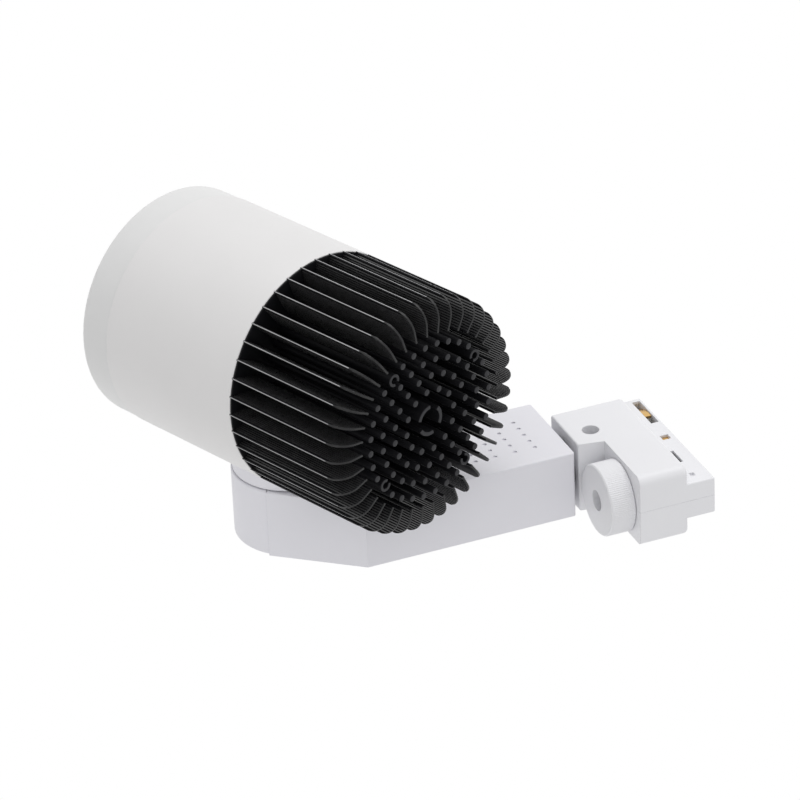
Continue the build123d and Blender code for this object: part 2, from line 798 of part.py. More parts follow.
def joint_direction():
    """Unit (x, z) from the pivot towards the box, square to the turret joint."""
    return (cos(side_angle), sin(side_angle))


def radial(piece, offset, y):
    """Stands a piece made along Z on the line from the pivot into the box."""
    ux, uz = joint_direction()
    origin = (pivot_x - uz * offset, y, pivot_z + ux * offset)
    return Plane(origin=origin, x_dir=(0, 1, 0), z_dir=(ux, 0, uz)).location * piece


def driver_box_shell():
    """Moulded box, open towards +Y for its cover, with a curved wall against the turret."""
    outline = box_outline(0) - turret_disc(slip)
    outline = split_off(outline)
    body = slab(outline, box_low_y, box_high_y)
    corners = body.edges().filter_by(Axis.Y).group_by(Axis.Z)[-1]
    body = fillet(corners, box_corner)
    body = fillet(body.faces().sort_by(Axis.Y)[0].outer_wire().edges().filter_by(straight), edge_round)
    room = box_outline(box_wall) - turret_disc(slip + turret_wall)
    room = split_off(room)
    body = body - slab(room, box_low_y + box_wall, box_high_y + over)
    ledge = cover_thickness + slip
    posts = []
    for x, z in cover_screw_places():
        posts.append(peg(cover_post_radius, x, z, box_low_y + edge_round, box_high_y - ledge))
    posts = joined(posts) & slab(split_off(box_outline(edge_round) - turret_disc(slip)),
                                 box_low_y, box_high_y)
    body = joined([body, posts])
    for x, z in cover_screw_places():
        body = body - peg(cover_screw_radius + slip / 2, x, z, box_high_y - cover_hole_depth,
                          box_high_y)
    return body.cut(*box_cuts())


def straight(edge):
    """Whether an edge is a line."""
    return edge.geom_type == GeomType.LINE


def split_off(outline):
    """The part of an outline on the box's side of the turret."""
    return outline.faces().sort_by(SortBy.AREA)[-1]


def box_cuts():
    """Vents, the swivel's hole, the cable window and the turret screws' holes."""
    cuts = []
    middle = (box_front + box_back) / 2
    for row in range(vent_rows):
        for column in range(vent_columns):
            x = middle + (column - (vent_columns - 1) / 2) * vent_column_pitch
            z = box_top - vent_from_top - row * vent_row_pitch
            cuts.append(peg(vent_radius, x, z, box_low_y - over, box_low_y + vent_depth))
    cuts.append(post(nipple_radius + slip / 2, swivel_x, 0, box_top - box_wall - over,
                     box_top + over))
    reach = turret_seat_radius + turret_wall
    window = Pos(0, 0, reach) * Box(cable_window, cable_window, 4 * turret_wall)
    cuts.append(radial(window, 0, box_shift))
    for offset, y in turret_screw_places():
        cuts.append(radial(Pos(0, 0, reach) * Cylinder(turret_screw_radius + slip / 2,
                                                       8 * turret_wall), offset, y))
    return cuts


def driver_cover():
    """Flat cover that closes the box on the +Y side."""
    outline = split_off(box_outline(box_wall + slip) - turret_disc(2 * slip + turret_wall))
    cover = slab(outline, box_high_y - cover_thickness, box_high_y)
    for x, z in cover_screw_places():
        cover = cover - peg(cover_screw_radius + screw_clearance, x, z, 0, box_high_y + over)
        sunk = box_high_y - cover_screw_head_height / 2
        cover = cover - peg(cover_screw_head + slip, x, z, sunk, box_high_y + over)
    return cover


def cover_screws():
    """Screws that hold the cover."""
    one = screw(cover_screw_radius, cover_screw_length, cover_screw_head, cover_screw_head_height)
    sunk = box_high_y - cover_screw_head_height / 2
    return [toward_high_y(x, sunk, z) * one for x, z in cover_screw_places()]


def pivot_turret():
    """Round cup that carries the lamp head's pivot."""
    cup = slab(turret_plan(), box_low_y, box_high_y)
    rim = cup.edges().filter_by(free_rim)
    cup = fillet(rim, edge_round)
    room = slab(Pos(pivot_x, pivot_z) * Circle(turret_seat_radius - turret_wall),
                box_low_y + turret_top, box_high_y + over)
    cup = cup - room
    bore = pivot_bolt_radius + running_fit
    cup = cup - peg(bore, pivot_x, pivot_z, box_low_y - over, box_low_y + turret_top + over)
    boss = peg(pivot_bolt_radius + turret_boss_wall, pivot_x, pivot_z, box_low_y + turret_top / 2,
               box_low_y + turret_top + turret_boss_height)
    boss = boss - peg(bore, pivot_x, pivot_z, box_low_y, box_high_y)
    cup = joined([cup, boss])
    reach = turret_seat_radius
    window = Pos(0, 0, reach) * Box(cable_window, cable_window, 4 * turret_wall)
    cup = cup - radial(window, 0, box_shift)
    for offset, y in turret_screw_places():
        hole = Pos(0, 0, reach) * Cylinder(turret_screw_radius + screw_clearance, 8 * turret_wall)
        cup = cup - radial(hole, offset, y)
    return cup


def free_rim(edge):
    """Whether an edge is an outer rim of the turret's exposed part."""
    return edge.geom_type == GeomType.CIRCLE and abs(edge.radius - turret_radius) < small


def turret_cap():
    """Snap-in disc that closes the turret on the +Y side."""
    radius = turret_seat_radius - turret_wall - slip
    cap = slab(Pos(pivot_x, pivot_z) * Circle(radius), box_high_y - turret_cap_thickness, box_high_y)
    skirt = Circle(radius) - Circle(radius - turret_cap_skirt)
    low = box_high_y - turret_cap_depth
    return joined([cap, slab(Pos(pivot_x, pivot_z) * skirt, low, box_high_y - turret_cap_thickness)])


def turret_screws():
    """Screws from inside the turret into the box's curved wall."""
    made = []
    inner = turret_seat_radius - turret_wall
    one = screw(turret_screw_radius, turret_screw_length, turret_screw_head,
                turret_screw_head_height)
    for offset, y in turret_screw_places():
        seat = sqrt(inner ** 2 - (abs(offset) + turret_screw_head) ** 2) - slip / 2
        made.append(radial(Pos(0, 0, seat) * Rot(180, 0, 0) * one, offset, y))
    return made


# ---- swivel -----------------------------------------------------------------------------------
def nipple_top():
    """Upper end of the nipple, in the adaptor."""
    return stem_bottom + adaptor_wall + swivel_washer_thickness + swivel_nut_height + nipple_end


def swivel_nipple():
    """Hollow threaded tube that joins the box to the adaptor."""
    low = box_top - box_wall - swivel_nut_height - nipple_tail
    tube = post(nipple_radius, swivel_x, 0, low, nipple_top())
    return tube - post(nipple_bore, swivel_x, 0, low - over, nipple_top() + over)


def swivel_collar():
    """Dark spacer that fills the gap between box and stem."""
    top = stem_bottom - part_gap / 2
    ring = post(swivel_collar_radius, swivel_x, 0, box_top, top)
    return ring - post(nipple_radius + slip / 2, swivel_x, 0, box_top - over, top + over)


def swivel_nut(inside_adaptor):
    """Lock nut on the nipple, in the adaptor or in the box."""
    nut = hex_nut(swivel_nut_flats, nipple_radius + slip / 2, swivel_nut_height)
    if inside_adaptor:
        low = stem_bottom + adaptor_wall + slip / 2 + swivel_washer_thickness
    else:
        low = box_top - box_wall - swivel_nut_height
    return Pos(swivel_x, 0, low) * nut


def swivel_washer():
    """Friction washer under the adaptor's lock nut."""
    low = stem_bottom + adaptor_wall + slip / 2
    ring = post(swivel_washer_radius, swivel_x, 0, low, low + swivel_washer_thickness)
    return ring - post(nipple_radius + slip / 2, swivel_x, 0, low - over,
                       low + swivel_washer_thickness + over)


# ---- driver electronics -----------------------------------------------------------------------
def driver_board():
    """Circuit board on the cover side of the box."""
    left = box_back + box_wall + board_margin
    right = box_front - box_wall - board_margin
    board = block(left, right, board_y - board_thickness, board_y, board_bottom, board_top)
    for x, z in cover_screw_places():
        board = board - peg(cover_post_radius + 2 * slip, x, z, box_low_y, box_high_y)
    return board


def on_board(x_share, z_share):
    """A place on the board as shares of its width and length, from its back lower corner."""
    left = box_back + box_wall + board_margin
    right = box_front - box_wall - board_margin
    return (left + (right - left) * x_share, board_bottom + board_length * z_share)


def board_part(x_share, z_share, half_x, half_z, height):
    """A block standing on the board."""
    x, z = on_board(x_share, z_share)
    face = board_y - board_thickness
    return block(x - half_x, x + half_x, face - height, face, z - half_z, z + half_z)


def board_can(x_share, z_share, radius, height):
    """A round can standing on the board."""
    x, z = on_board(x_share, z_share)
    face = board_y - board_thickness
    can = peg(radius, x, z, face - height, face)
    return fillet(can.edges().filter_by(GeomType.CIRCLE), radius * can_round_share)


def transformer():
    """Ferrite core with its wound bobbin."""
    core = board_part(0.42, 0.56, core_half_x, core_half_z, core_height)
    bobbin = board_part(0.42, 0.56, bobbin_half_x, bobbin_half_z, bobbin_height)
    return joined([core, bobbin])


def capacitors():
    """Input and output electrolytic capacitors."""
    return [board_can(0.22, 0.86, input_can_radius, input_can_height),
            board_can(0.58, 0.24, output_can_radius, output_can_height)]


def inductor():
    """Toroidal choke on the output side."""
    x, z = on_board(0.3, 0.24)
    face = board_y - board_thickness
    ring = Torus(choke_ring_radius, choke_wire_radius)
    return Pos(x, face - choke_wire_radius, z) * Rot(90, 0, 0) * ring


def power_parts():
    """Fuse, film capacitor and the switching chip with its tab."""
    return [board_part(0.84, 0.80, fuse_half_x, fuse_half_z, fuse_height),
            board_part(0.84, 0.56, film_half_x, film_half_z, film_height),
            board_part(0.84, 0.30, chip_half_x, chip_half_z, chip_height)]


def output_terminal_place():
    """Where the output terminal stands, as (x, z)."""
    return on_board(0.45, 0.05)


def output_terminal():
    """Terminal block for the lamp head's lead."""
    x, z = output_terminal_place()
    face = board_y - board_thickness
    return block(x - terminal_half_x, x + terminal_half_x, face - terminal_height, face,
                 z - terminal_half_z, z + terminal_half_z)


def insulation_sheet():
    """Thin sheet between the board and the cover."""
    left = box_back + box_wall + board_margin
    right = box_front - box_wall - board_margin
    face = box_high_y - cover_thickness
    sheet = block(left, right, face - 2 * slip - sheet_thickness, face - 2 * slip,
                  board_bottom, board_top)
    for x, z in cover_screw_places():
        sheet = sheet - peg(cover_post_radius + 2 * slip, x, z, box_low_y, box_high_y)
    return sheet


def board_pillars():
    """Four short pillars that hold the board off the insulation sheet."""
    made = []
    top = box_high_y - cover_thickness - 2 * slip - sheet_thickness
    for x_share in (0.08, 0.92):
        for z_share in (0.12, 0.72):
            x, z = on_board(x_share, z_share)
            made.append(peg(pillar_radius, x, z, board_y, top))
    return made


def tube_along(points, radii, radius):
    """A round lead along straight runs joined by arcs."""
    path = FilletPolyline(*points, radius=radii)
    start = Plane(origin=path @ 0, z_dir=path % 0)
    return sweep(start * Circle(radius), path=path)


def mains_lead():
    """Sheathed lead from the nipple's upper end through the box to the board."""
    x, z = on_board(0.5, 0.942)
    face = board_y - board_thickness
    points = [(swivel_x, 0, nipple_top() - lead_end_drop), (swivel_x, 0, box_top - mains_lead_drop),
              (x, face - mains_lead_tail, z), (x, face, z)]
    return tube_along(points, [lead_bend, lead_bend], mains_radius)


def adaptor_lead():
    """Sheathed lead from the terminal block down to the nipple, round the screw boss."""
    x = swivel_x - adaptor_lead_shift
    y = shoulder_low_y + adaptor_wall + lead_block_depth / 2
    low = lead_block_bottom()
    points = [(x, y, low - slip), (x, y, low - adaptor_lead_run),
              (swivel_x - adaptor_lead_side, 0, nipple_top() + adaptor_lead_lift),
              (swivel_x, 0, nipple_top() + part_gap)]
    return tube_along(points, [lead_bend, lead_bend * 0.8], mains_radius)


def output_lead():
    """Lead from the board's terminal to the hollow pivot bolt."""
    x, z = output_terminal_place()
    y = box_shift + cable_window / 2 - 2 * lead_radius
    ux, uz = joint_direction()
    knee = (x, y, pivot_z + (x - pivot_x) * uz / ux)
    points = [(x, y, z - terminal_half_z), knee, (pivot_x, y, pivot_z),
              (pivot_x, bolt_tip_y() + part_gap, pivot_z)]
    return tube_along(points, [output_lead_bend, output_lead_last_bend], lead_radius)


# ---- lamp head --------------------------------------------------------------------------------
# The head is modelled with its own axis along Z, rearwards, the pivot at Z = 0 on its -Y side.
def head_place():
    """Where the head's own frame lies in the lamp at rest."""
    tilt = radians(rest_tilt)
    origin = (pivot_x, head_axis_y, pivot_z)
    rearwards = (sin(tilt), 0, cos(tilt))
    return Plane(origin=origin, x_dir=(-cos(tilt), 0, sin(tilt)), z_dir=rearwards).location


def bolt_seat():
    """Height of the inner pad's top in the head's frame."""
    return -tube_bore + inner_pad_height + bolt_seat_rise


def bolt_tip_y():
    """Row Y of the pivot bolt's free end."""
    return head_axis_y - bolt_seat() + pivot_bolt_length


def down(radius, y0, y1, x=0.0, z=0.0):
    """A cylinder along the pivot axis in the head's frame."""
    return peg(radius, x, z, y0, y1)


def lamp_tube():
    """Spun housing: a tube with a bulkhead near its rear rim."""
    bore = tube_bore
    front = bulkhead_rear - bulkhead_thickness
    tube = turned([(bore, -tube_front), (tube_radius, -tube_front), (tube_radius, tube_rear),
                   (bore, tube_rear), (bore, bulkhead_rear), (bulkhead_opening, bulkhead_rear),
                   (bulkhead_opening, front), (bore, front)])
    rims = tube.edges().filter_by(GeomType.CIRCLE).filter_by(outer_rim)
    tube = fillet(rims, edge_round / 2)
    tube = tube - down(pivot_bolt_radius + slip, -tube_radius - over, -tube_bore + over)
    for x, z in saddle_screw_places():
        tube = tube - down(saddle_screw_radius + screw_clearance, -tube_radius - over,
                           -tube_radius / 2, x, z)
    for angle in sink_boss_angles():
        x, y = boss_radius * cos(angle), boss_radius * sin(angle)
        tube = tube - post(boss_inner, x, y, front - over, bulkhead_rear + over)
    return tube


def outer_rim(edge):
    """Whether a circular edge is one of the tube's outer rims."""
    return abs(edge.radius - tube_radius) < small


def front_ring():
    """Frosted ring in front of the tube, with a spigot inside the tube."""
    seat = glass_front + glass_thickness
    spigot = tube_bore - slip
    back = -tube_front
    ring = turned([(glass_radius - glass_lip, ring_front), (ring_radius, ring_front),
                   (ring_radius, back), (spigot, back), (spigot, back + ring_spigot),
                   (spigot - ring_spigot_wall, back + ring_spigot),
                   (spigot - ring_spigot_wall, seat), (glass_radius + slip, seat),
                   (glass_radius + slip, glass_front), (glass_radius - glass_lip, glass_front)])
    nose = ring.edges().filter_by(GeomType.CIRCLE).sort_by(Axis.Z)
    nose = [edge for edge in nose if abs(edge.center().Z - ring_front) < small]
    return fillet(nose, ring_round)


def front_glass():
    """Flat glass behind the ring's lip."""
    disc = post(glass_radius, 0, 0, glass_front, glass_front + glass_thickness)
    return fillet(disc.edges().filter_by(GeomType.CIRCLE), glass_edge)


def reflector():
    """Spun aluminium reflector, a deep bowl open to the front."""
    rear = pedestal_front - holder_height - slip
    front = glass_front + glass_thickness + slip
    rim = tube_bore - slip - ring_spigot_wall - 2 * slip
    depth = rear - front
    throat = reflector_throat
    belly = (throat + (rim - reflector_rim_flange - throat) * reflector_belly_out,
             rear - depth * reflector_belly_back)
    mouth = (rim - reflector_rim_flange, front)
    wall = reflector_wall
    inside = ThreePointArc((throat, rear), belly, mouth)
    outside = ThreePointArc((throat + wall, rear), (belly[0] + wall, belly[1] + wall / 2),
                            (mouth[0] + wall, front + wall))
    ends = [Line((throat, rear), (throat + wall, rear)),
            Polyline(mouth, (rim, front), (rim, front + wall), (mouth[0] + wall, front + wall))]
    return revolve(Plane.XZ * make_face(Curve() + [inside, outside] + ends), Axis.Z)


def sink_boss_angles():
    """Angle of each screw boss of the heat sink."""
    start = radians(sink_pattern_angle)
    return [start + 2 * pi * k / boss_count for k in range(boss_count)]


def fin_profile():
    """Solid of revolution that the fins are trimmed to, with a rounded rear corner."""
    corner = fin_corner
    shoulder = (tube_radius - corner * (1 - sqrt(0.5)), sink_end - corner * (1 - sqrt(0.5)))
    lines = [Polyline((tube_radius, sink_end - corner), (tube_radius, tube_rear),
                      (fin_inner_radius, tube_rear), (fin_inner_radius, sink_end),
                      (tube_radius - corner, sink_end)),
             ThreePointArc((tube_radius - corner, sink_end), shoulder,
                           (tube_radius, sink_end - corner))]
    return revolve(Plane.XZ * make_face(Curve() + lines), Axis.Z)


def heat_sink():
    """Cold-forged heat sink: base, radial fins, pins, screw bosses and three core arcs."""
    root = tube_rear - sink_root
    fins = []
    middle = (fin_inner_radius + tube_radius) / 2
    width = tube_radius - fin_inner_radius + 2 * over
    start = radians(sink_pattern_angle)
    for k in range(fin_count):
        angle = start + 2 * pi * k / fin_count
        spot = Pos(middle * cos(angle), middle * sin(angle)) * Rot(0, 0, degrees(angle))
        fins.append(spot * Rectangle(width, fin_thickness))
    fins = plate(Sketch() + fins, tube_rear + curve_fit, sink_end) & fin_profile()
    pins = []
    for ring, count in enumerate(pin_counts):
        radius = pin_first_ring + ring * pin_ring_pitch
        phase = 0.5 if count == pin_offset_count else 0.0
        for k in range(count):
            angle = start + 2 * pi * (k + phase) / count
            if radius > boss_radius and near_boss(angle):
                continue
            spot = Pos(radius * cos(angle), radius * sin(angle))
            pins.append(spot * Circle(pin_radius + pin_foot))
    pins = extrude(Pos(0, 0, root) * (Sketch() + pins), sink_end - root, taper=pin_taper)
    bosses = []
    for angle in sink_boss_angles():
        ring = Circle(boss_outer) - Circle(boss_inner)
        ring = ring - Pos(-boss_outer, 0) * Rectangle(2 * boss_outer, boss_slit)
        spot = Pos(boss_radius * cos(angle), boss_radius * sin(angle)) * Rot(0, 0, degrees(angle))
        bosses.append(spot * ring)
    bosses = plate(Sketch() + bosses, root, sink_end)
    arcs = []
    for k in range(core_arc_count):
        turn = sink_pattern_angle - core_arc_angle + 360 * k / core_arc_count
        arcs.append(Rot(0, 0, turn) * arc_segment(core_arc_radius, core_arc_width, core_arc_span))
    arcs = plate(Sketch() + arcs, root, sink_end)
    base = post(tube_bore - slip, 0, 0, sink_front, tube_rear + sink_flange / 2)
    flange = post(ring_radius, 0, 0, tube_rear + curve_fit, tube_rear + sink_flange)
    pedestal = post(pedestal_radius, 0, 0, pedestal_front, sink_front + over)
    sink = joined([base, flange, pedestal] + fins.solids() + pins.solids() + bosses.solids() + arcs.solids())
    for angle in sink_boss_angles():
        x, y = boss_radius * cos(angle), boss_radius * sin(angle)
        sink = sink - post(sink_screw_radius, x, y, sink_front - over, tube_rear + over)
    for x, y in holder_screw_places():
        sink = sink - post(holder_screw_radius, x, y, pedestal_front - over,
                           pedestal_front + holder_screw_grip + over)
    return sink


def near_boss(angle):
    """Whether a pin of the outer ring would stand where a screw boss is."""
    gaps = [abs((angle - other + pi) % (2 * pi) - pi) for other in sink_boss_angles()]
    return min(gaps) * boss_radius < boss_outer + pin_radius


def arc_segment(radius, width, span):
    """A short curved bar about the origin, centred on +X."""
    ring = Circle(radius + width / 2) - Circle(radius - width / 2)
    half = radians(span / 2)
    reach = 3 * radius
    wedge = Polyline((0, 0), (reach * cos(half), -reach * sin(half)), (reach, 0),
                     (reach * cos(half), reach * sin(half)), close=True)
    return ring & make_face(wedge)


def sink_screws():
    """Screws through the bulkhead into the heat sink's bosses."""
    one = screw(sink_screw_radius, bulkhead_from_rear + sink_screw_grip, sink_screw_head,
                sink_screw_head_height)
    made = []
    for angle in sink_boss_angles():
        x, y = boss_radius * cos(angle), boss_radius * sin(angle)
        made.append(Pos(x, y, pedestal_front) * Rot(180, 0, 0) * one)
    return made


def thermal_pad():
    """Pad between the light source and the heat sink."""
    return block(-pad_size / 2, pad_size / 2, -pad_size / 2, pad_size / 2, pad_front, pedestal_front)


def led_substrate():
    """Ceramic plate of the light source."""
    half = led_size / 2
    return block(-half, half, -half, half, led_front, pad_front)


def led_phosphor():
    """Round light-emitting area."""
    disc = post(phosphor_radius, 0, 0, led_front - phosphor_height, led_front)
    return fillet(disc.edges().sort_by(Axis.Z)[0], phosphor_height * 0.6)


def holder_screw_places():
    """The light source holder's two screws as (x, y)."""
    return [(holder_screw_circle, 0), (-holder_screw_circle, 0)]


def led_holder():
    """Moulded holder that clamps the light source."""
    low = pedestal_front - holder_height
    ring = post(holder_radius, 0, 0, low, pedestal_front - slip)
    ring = fillet(ring.edges().sort_by(Axis.Z)[0], edge_round)
    half = max(pad_size, led_size) / 2 + slip
    ring = ring - block(-half, half, -half, half, led_front - slip, pedestal_front + over)
    ring = ring - post(holder_opening, 0, 0, low - over, pedestal_front + over)
    for x, y in holder_screw_places():
        ring = ring - post(holder_screw_radius + screw_clearance, x, y, low - over,
                           pedestal_front + over)
    return ring


def holder_screws():
    """The holder's screws, threaded into the heat sink's pedestal."""
    low = pedestal_front - holder_height
    one = screw(holder_screw_radius, holder_height + holder_screw_grip, holder_screw_head,
                holder_screw_head_height)
    return [Pos(x, y, low) * Rot(180, 0, 0) * one for x, y in holder_screw_places()]


def saddle_screw_places():
    """The saddle's screws as (x, z) in the head's frame."""
    spread = saddle_screw_spread
    return [(spread * sin(radians(a)), spread * cos(radians(a))) for a in saddle_screw_angles]


def saddle_floor():
    """Lowest Y of the saddle in the head's frame."""
    return -tube_radius - head_gap + saddle_lift


def pivot_saddle():
    """Round foot shaped to the lamp tube that turns on the turret."""
    foot = down(saddle_radius, saddle_floor(), -tube_radius / 2)
    foot = foot - Cylinder(tube_radius + curve_fit, far)
    foot = Part() + foot.solids().sort_by(Axis.Y)[0]
    low = foot.edges().filter_by(GeomType.CIRCLE).sort_by(Axis.Y)[0]
    foot = fillet(low, edge_round / 2)
    foot = foot - down(pivot_bolt_radius + slip, -far, 0)
    for x, z in saddle_screw_places():
        foot = foot - down(saddle_screw_radius + slip / 2, saddle_floor() + saddle_screw_floor / 2,
                           0, x, z)
    return foot


def inner_pad():
    """Pad inside the tube that gives the bolt a flat seat."""
    pad = down(inner_pad_radius, -tube_radius, bolt_seat())
    pad = pad & Cylinder(tube_bore - curve_fit, far)
    return pad - down(pivot_bolt_radius + slip, -far, 0)


def pivot_bolt():
    """Hollow bolt that holds the head to the turret."""
    seat = bolt_seat()
    head = down(pivot_bolt_head, seat, seat + pivot_bolt_head_height)
    head = fillet(head.edges().filter_by(GeomType.CIRCLE).sort_by(Axis.Y)[-1], edge_round)
    shank = down(pivot_bolt_radius, seat - pivot_bolt_length, seat)
    return joined([head, shank]) - down(pivot_bolt_bore, -far, 0)


def friction_washer():
    """Thin washer between the saddle and the turret."""
    low = saddle_floor() - saddle_lift + part_gap / 3
    ring = down(friction_washer_radius, low, saddle_floor())
    return ring - down(pivot_bolt_radius + slip, -far, 0)


def under_turret():
    """Y of the turret boss's inner face in the head's frame."""
    return head_axis_y - (box_low_y + turret_top + turret_boss_height)


def spring_washer():
    """Spring washer that sets the tilt's friction."""
    high = under_turret() - part_gap / 3
    ring = down(spring_washer_radius, high - spring_washer_thickness, high)
    return ring - down(pivot_bolt_radius + slip, -far, 0)


def pivot_nut():
    """Lock nut on the pivot bolt."""
    high = under_turret() - part_gap / 3 - spring_washer_thickness
    nut = hex_nut(pivot_nut_flats, pivot_bolt_radius + slip / 2, pivot_nut_height)
    return Pos(0, high - pivot_nut_height, 0) * Rot(-90, 0, 0) * nut


def saddle_screws():
    """Screws through the tube into the saddle."""
    made = []
    for x, z in saddle_screw_places():
        seat = -sqrt(tube_bore ** 2 - (abs(x) + saddle_screw_head) ** 2) + slip / 2
        floor = saddle_floor() + saddle_screw_floor
        one = screw(saddle_screw_radius, seat - floor, saddle_screw_head, saddle_screw_head_height)
        made.append(Pos(x, seat, z) * Rot(-90, 0, 0) * one)
    return made


def led_lead():
    """Lead from the hollow bolt up to the light source."""
    top = bolt_seat() + pivot_bolt_head_height + led_lead_lift
    front = led_front - led_lead_front
    points = [(0, bolt_seat() - pivot_bolt_length, 0), (0, top, 0),
              (0, -holder_radius - led_lead_slack, front),
              (0, -led_size / 2 - led_lead_tail, front)]
    return tube_along(points, [led_lead_bend, led_lead_bend], lead_radius)


# ---- write every node -------------------------------------------------------------------------
def write_adaptor():
    low_half, high_half = adaptor_shells()
    save("adaptor_head_side_shell", low_half)
    save("adaptor_back_side_shell", high_half)
    save("adaptor_screws", Compound(children=adaptor_screws()))
    save("earth_contact", earth_contact())
    save("lead_block", lead_block())
    save("adaptor_lead", adaptor_lead())


def write_lock():
    save("lock_knob", lock_knob())
    save("lock_knob_screw", lock_knob_screw())
    save("lock_shaft", lock_shaft())
    save("lock_cam", lock_cam())
    save("cam_clip", cam_clip())
    save("contact_link", contact_link())
    save("contact_rotor", contact_rotor())
    save("live_contact_blade", contact_blade(-1))
    save("neutral_contact_blade", contact_blade(1))


def write_box():
    save("driver_box_shell", driver_box_shell())
    save("driver_cover", driver_cover())
    save("cover_screws", Compound(children=cover_screws()))
    save("pivot_turret", pivot_turret())
    save("turret_cap", turret_cap())
    save("turret_screws", Compound(children=turret_screws()))
    save("swivel_nipple", swivel_nipple())
    save("swivel_collar", swivel_collar())
    save("swivel_upper_nut", swivel_nut(True))
    save("swivel_lower_nut", swivel_nut(False))
    save("swivel_washer", swivel_washer())
    save("driver_board", driver_board())
    save("transformer", transformer())
    save("capacitors", Compound(children=capacitors()))
    save("inductor", inductor())
    save("power_parts", Compound(children=power_parts()))
    save("output_terminal", output_terminal())
    save("insulation_sheet", insulation_sheet())
    save("board_pillars", Compound(children=board_pillars()))
    save("mains_lead", mains_lead())
    save("output_lead", output_lead())


def write_head():
    place = head_place()
    single = {
        "lamp_tube": lamp_tube, "front_ring": front_ring, "front_glass": front_glass,
        "reflector": reflector, "heat_sink": heat_sink, "thermal_pad": thermal_pad,
        "led_substrate": led_substrate, "led_phosphor": led_phosphor, "led_holder": led_holder,
        "pivot_saddle": pivot_saddle, "inner_pad": inner_pad, "pivot_bolt": pivot_bolt,
        "friction_washer": friction_washer, "spring_washer": spring_washer,
        "pivot_nut": pivot_nut, "led_lead": led_lead,
    }
    for name, make in single.items():
        save(name, place * make())
    groups = {"sink_screws": sink_screws, "holder_screws": holder_screws, "saddle_screws": saddle_screws}
    for name, make in groups.items():
        save(name, Compound(children=[place * piece for piece in make()]))


os.makedirs("parts", exist_ok=True)
write_adaptor()
write_lock()
write_box()
write_head()
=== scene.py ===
import json
from math import acos, asin, cos, degrees, pi, radians, sin, sqrt, tau

import bmesh
import bpy
from mathutils import Matrix, Vector

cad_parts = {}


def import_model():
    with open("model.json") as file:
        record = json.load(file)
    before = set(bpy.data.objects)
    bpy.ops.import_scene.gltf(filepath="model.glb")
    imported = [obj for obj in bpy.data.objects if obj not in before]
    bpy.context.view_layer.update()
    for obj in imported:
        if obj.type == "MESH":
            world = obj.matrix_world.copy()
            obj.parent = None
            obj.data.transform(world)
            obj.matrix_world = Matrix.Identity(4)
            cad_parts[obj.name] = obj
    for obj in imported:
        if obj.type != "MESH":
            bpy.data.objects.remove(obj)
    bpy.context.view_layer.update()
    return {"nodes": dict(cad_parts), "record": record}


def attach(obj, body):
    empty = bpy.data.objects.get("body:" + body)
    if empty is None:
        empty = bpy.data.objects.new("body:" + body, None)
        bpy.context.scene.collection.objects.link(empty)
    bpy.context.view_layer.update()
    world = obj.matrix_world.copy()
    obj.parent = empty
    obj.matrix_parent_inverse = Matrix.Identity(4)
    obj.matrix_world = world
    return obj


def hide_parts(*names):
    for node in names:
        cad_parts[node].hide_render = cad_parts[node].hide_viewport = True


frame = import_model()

MM = 0.001
nodes = frame["nodes"]

# Sizes in millimetres, as in the part's source. The head's own axis is local Z, rearwards.
PIVOT_X, PIVOT_Z = -48.6, -166.0
HEAD_AXIS_Y = -76.5
REST_TILT = 67.65
TUBE_R = 58.3
TUBE_BORE = 56.3
TUBE_FRONT = -62.4
TUBE_REAR = 23.6
WEB_FRONT, WEB_REAR = 16.6, 18.6  # the wall across the tube that holds the heat sink
WEB_HOLE_R = 24.0
RING_R = 57.9
RING_BORE = 50.0
RING_FRONT = -80.9
SPIGOT_R, SPIGOT_BORE, SPIGOT_END = 56.1, 54.3, -55.4  # the ring's part inside the tube
GLASS_SEAT_R, GLASS_SEAT, GLASS_BACK = 53.15, -71.9, -68.9
SINK_END = 96.5
SINK_ANGLE = 35.6  # where the heat sink's first fin and first boss stand, in degrees
ROUND_SEGMENTS = 256
BASE_SEGMENTS = 192


# ---- mesh helpers -----------------------------------------------------------------------------
def head_matrix():
    """The head's own frame in the row frame at rest, in metres."""
    tilt = radians(REST_TILT)
    x = Vector((-cos(tilt), 0, sin(tilt)))
    z = Vector((sin(tilt), 0, cos(tilt)))
    y = z.cross(x)
    m = Matrix((x, y, z)).transposed().to_4x4()
    m.translation = Vector((PIVOT_X, HEAD_AXIS_Y, PIVOT_Z)) * MM
    return m


HEAD = head_matrix()


def new_object(name, points, faces, mats, indices=None, smooth_angle=35.0, matrix=None):
    """A mesh object from points in millimetres; faces take the material of their index."""
    mesh = bpy.data.meshes.new(name)
    mesh.from_pydata([tuple(c * MM for c in p) for p in points], [], faces)
    for m in mats:
        mesh.materials.append(m)
    if indices is not None:
        mesh.polygons.foreach_set("material_index", indices)
    bm = bmesh.new()
    bm.from_mesh(mesh)
    bmesh.ops.remove_doubles(bm, verts=bm.verts, dist=1e-7)
    bmesh.ops.recalc_face_normals(bm, faces=bm.faces)
    bm.to_mesh(mesh)
    bm.free()
    mesh.polygons.foreach_set("use_smooth", [True] * len(mesh.polygons))
    mesh.set_sharp_from_angle(angle=radians(smooth_angle))
    obj = bpy.data.objects.new(name, mesh)
    bpy.context.scene.collection.objects.link(obj)
    if matrix is not None:
        obj.matrix_world = matrix
    return obj


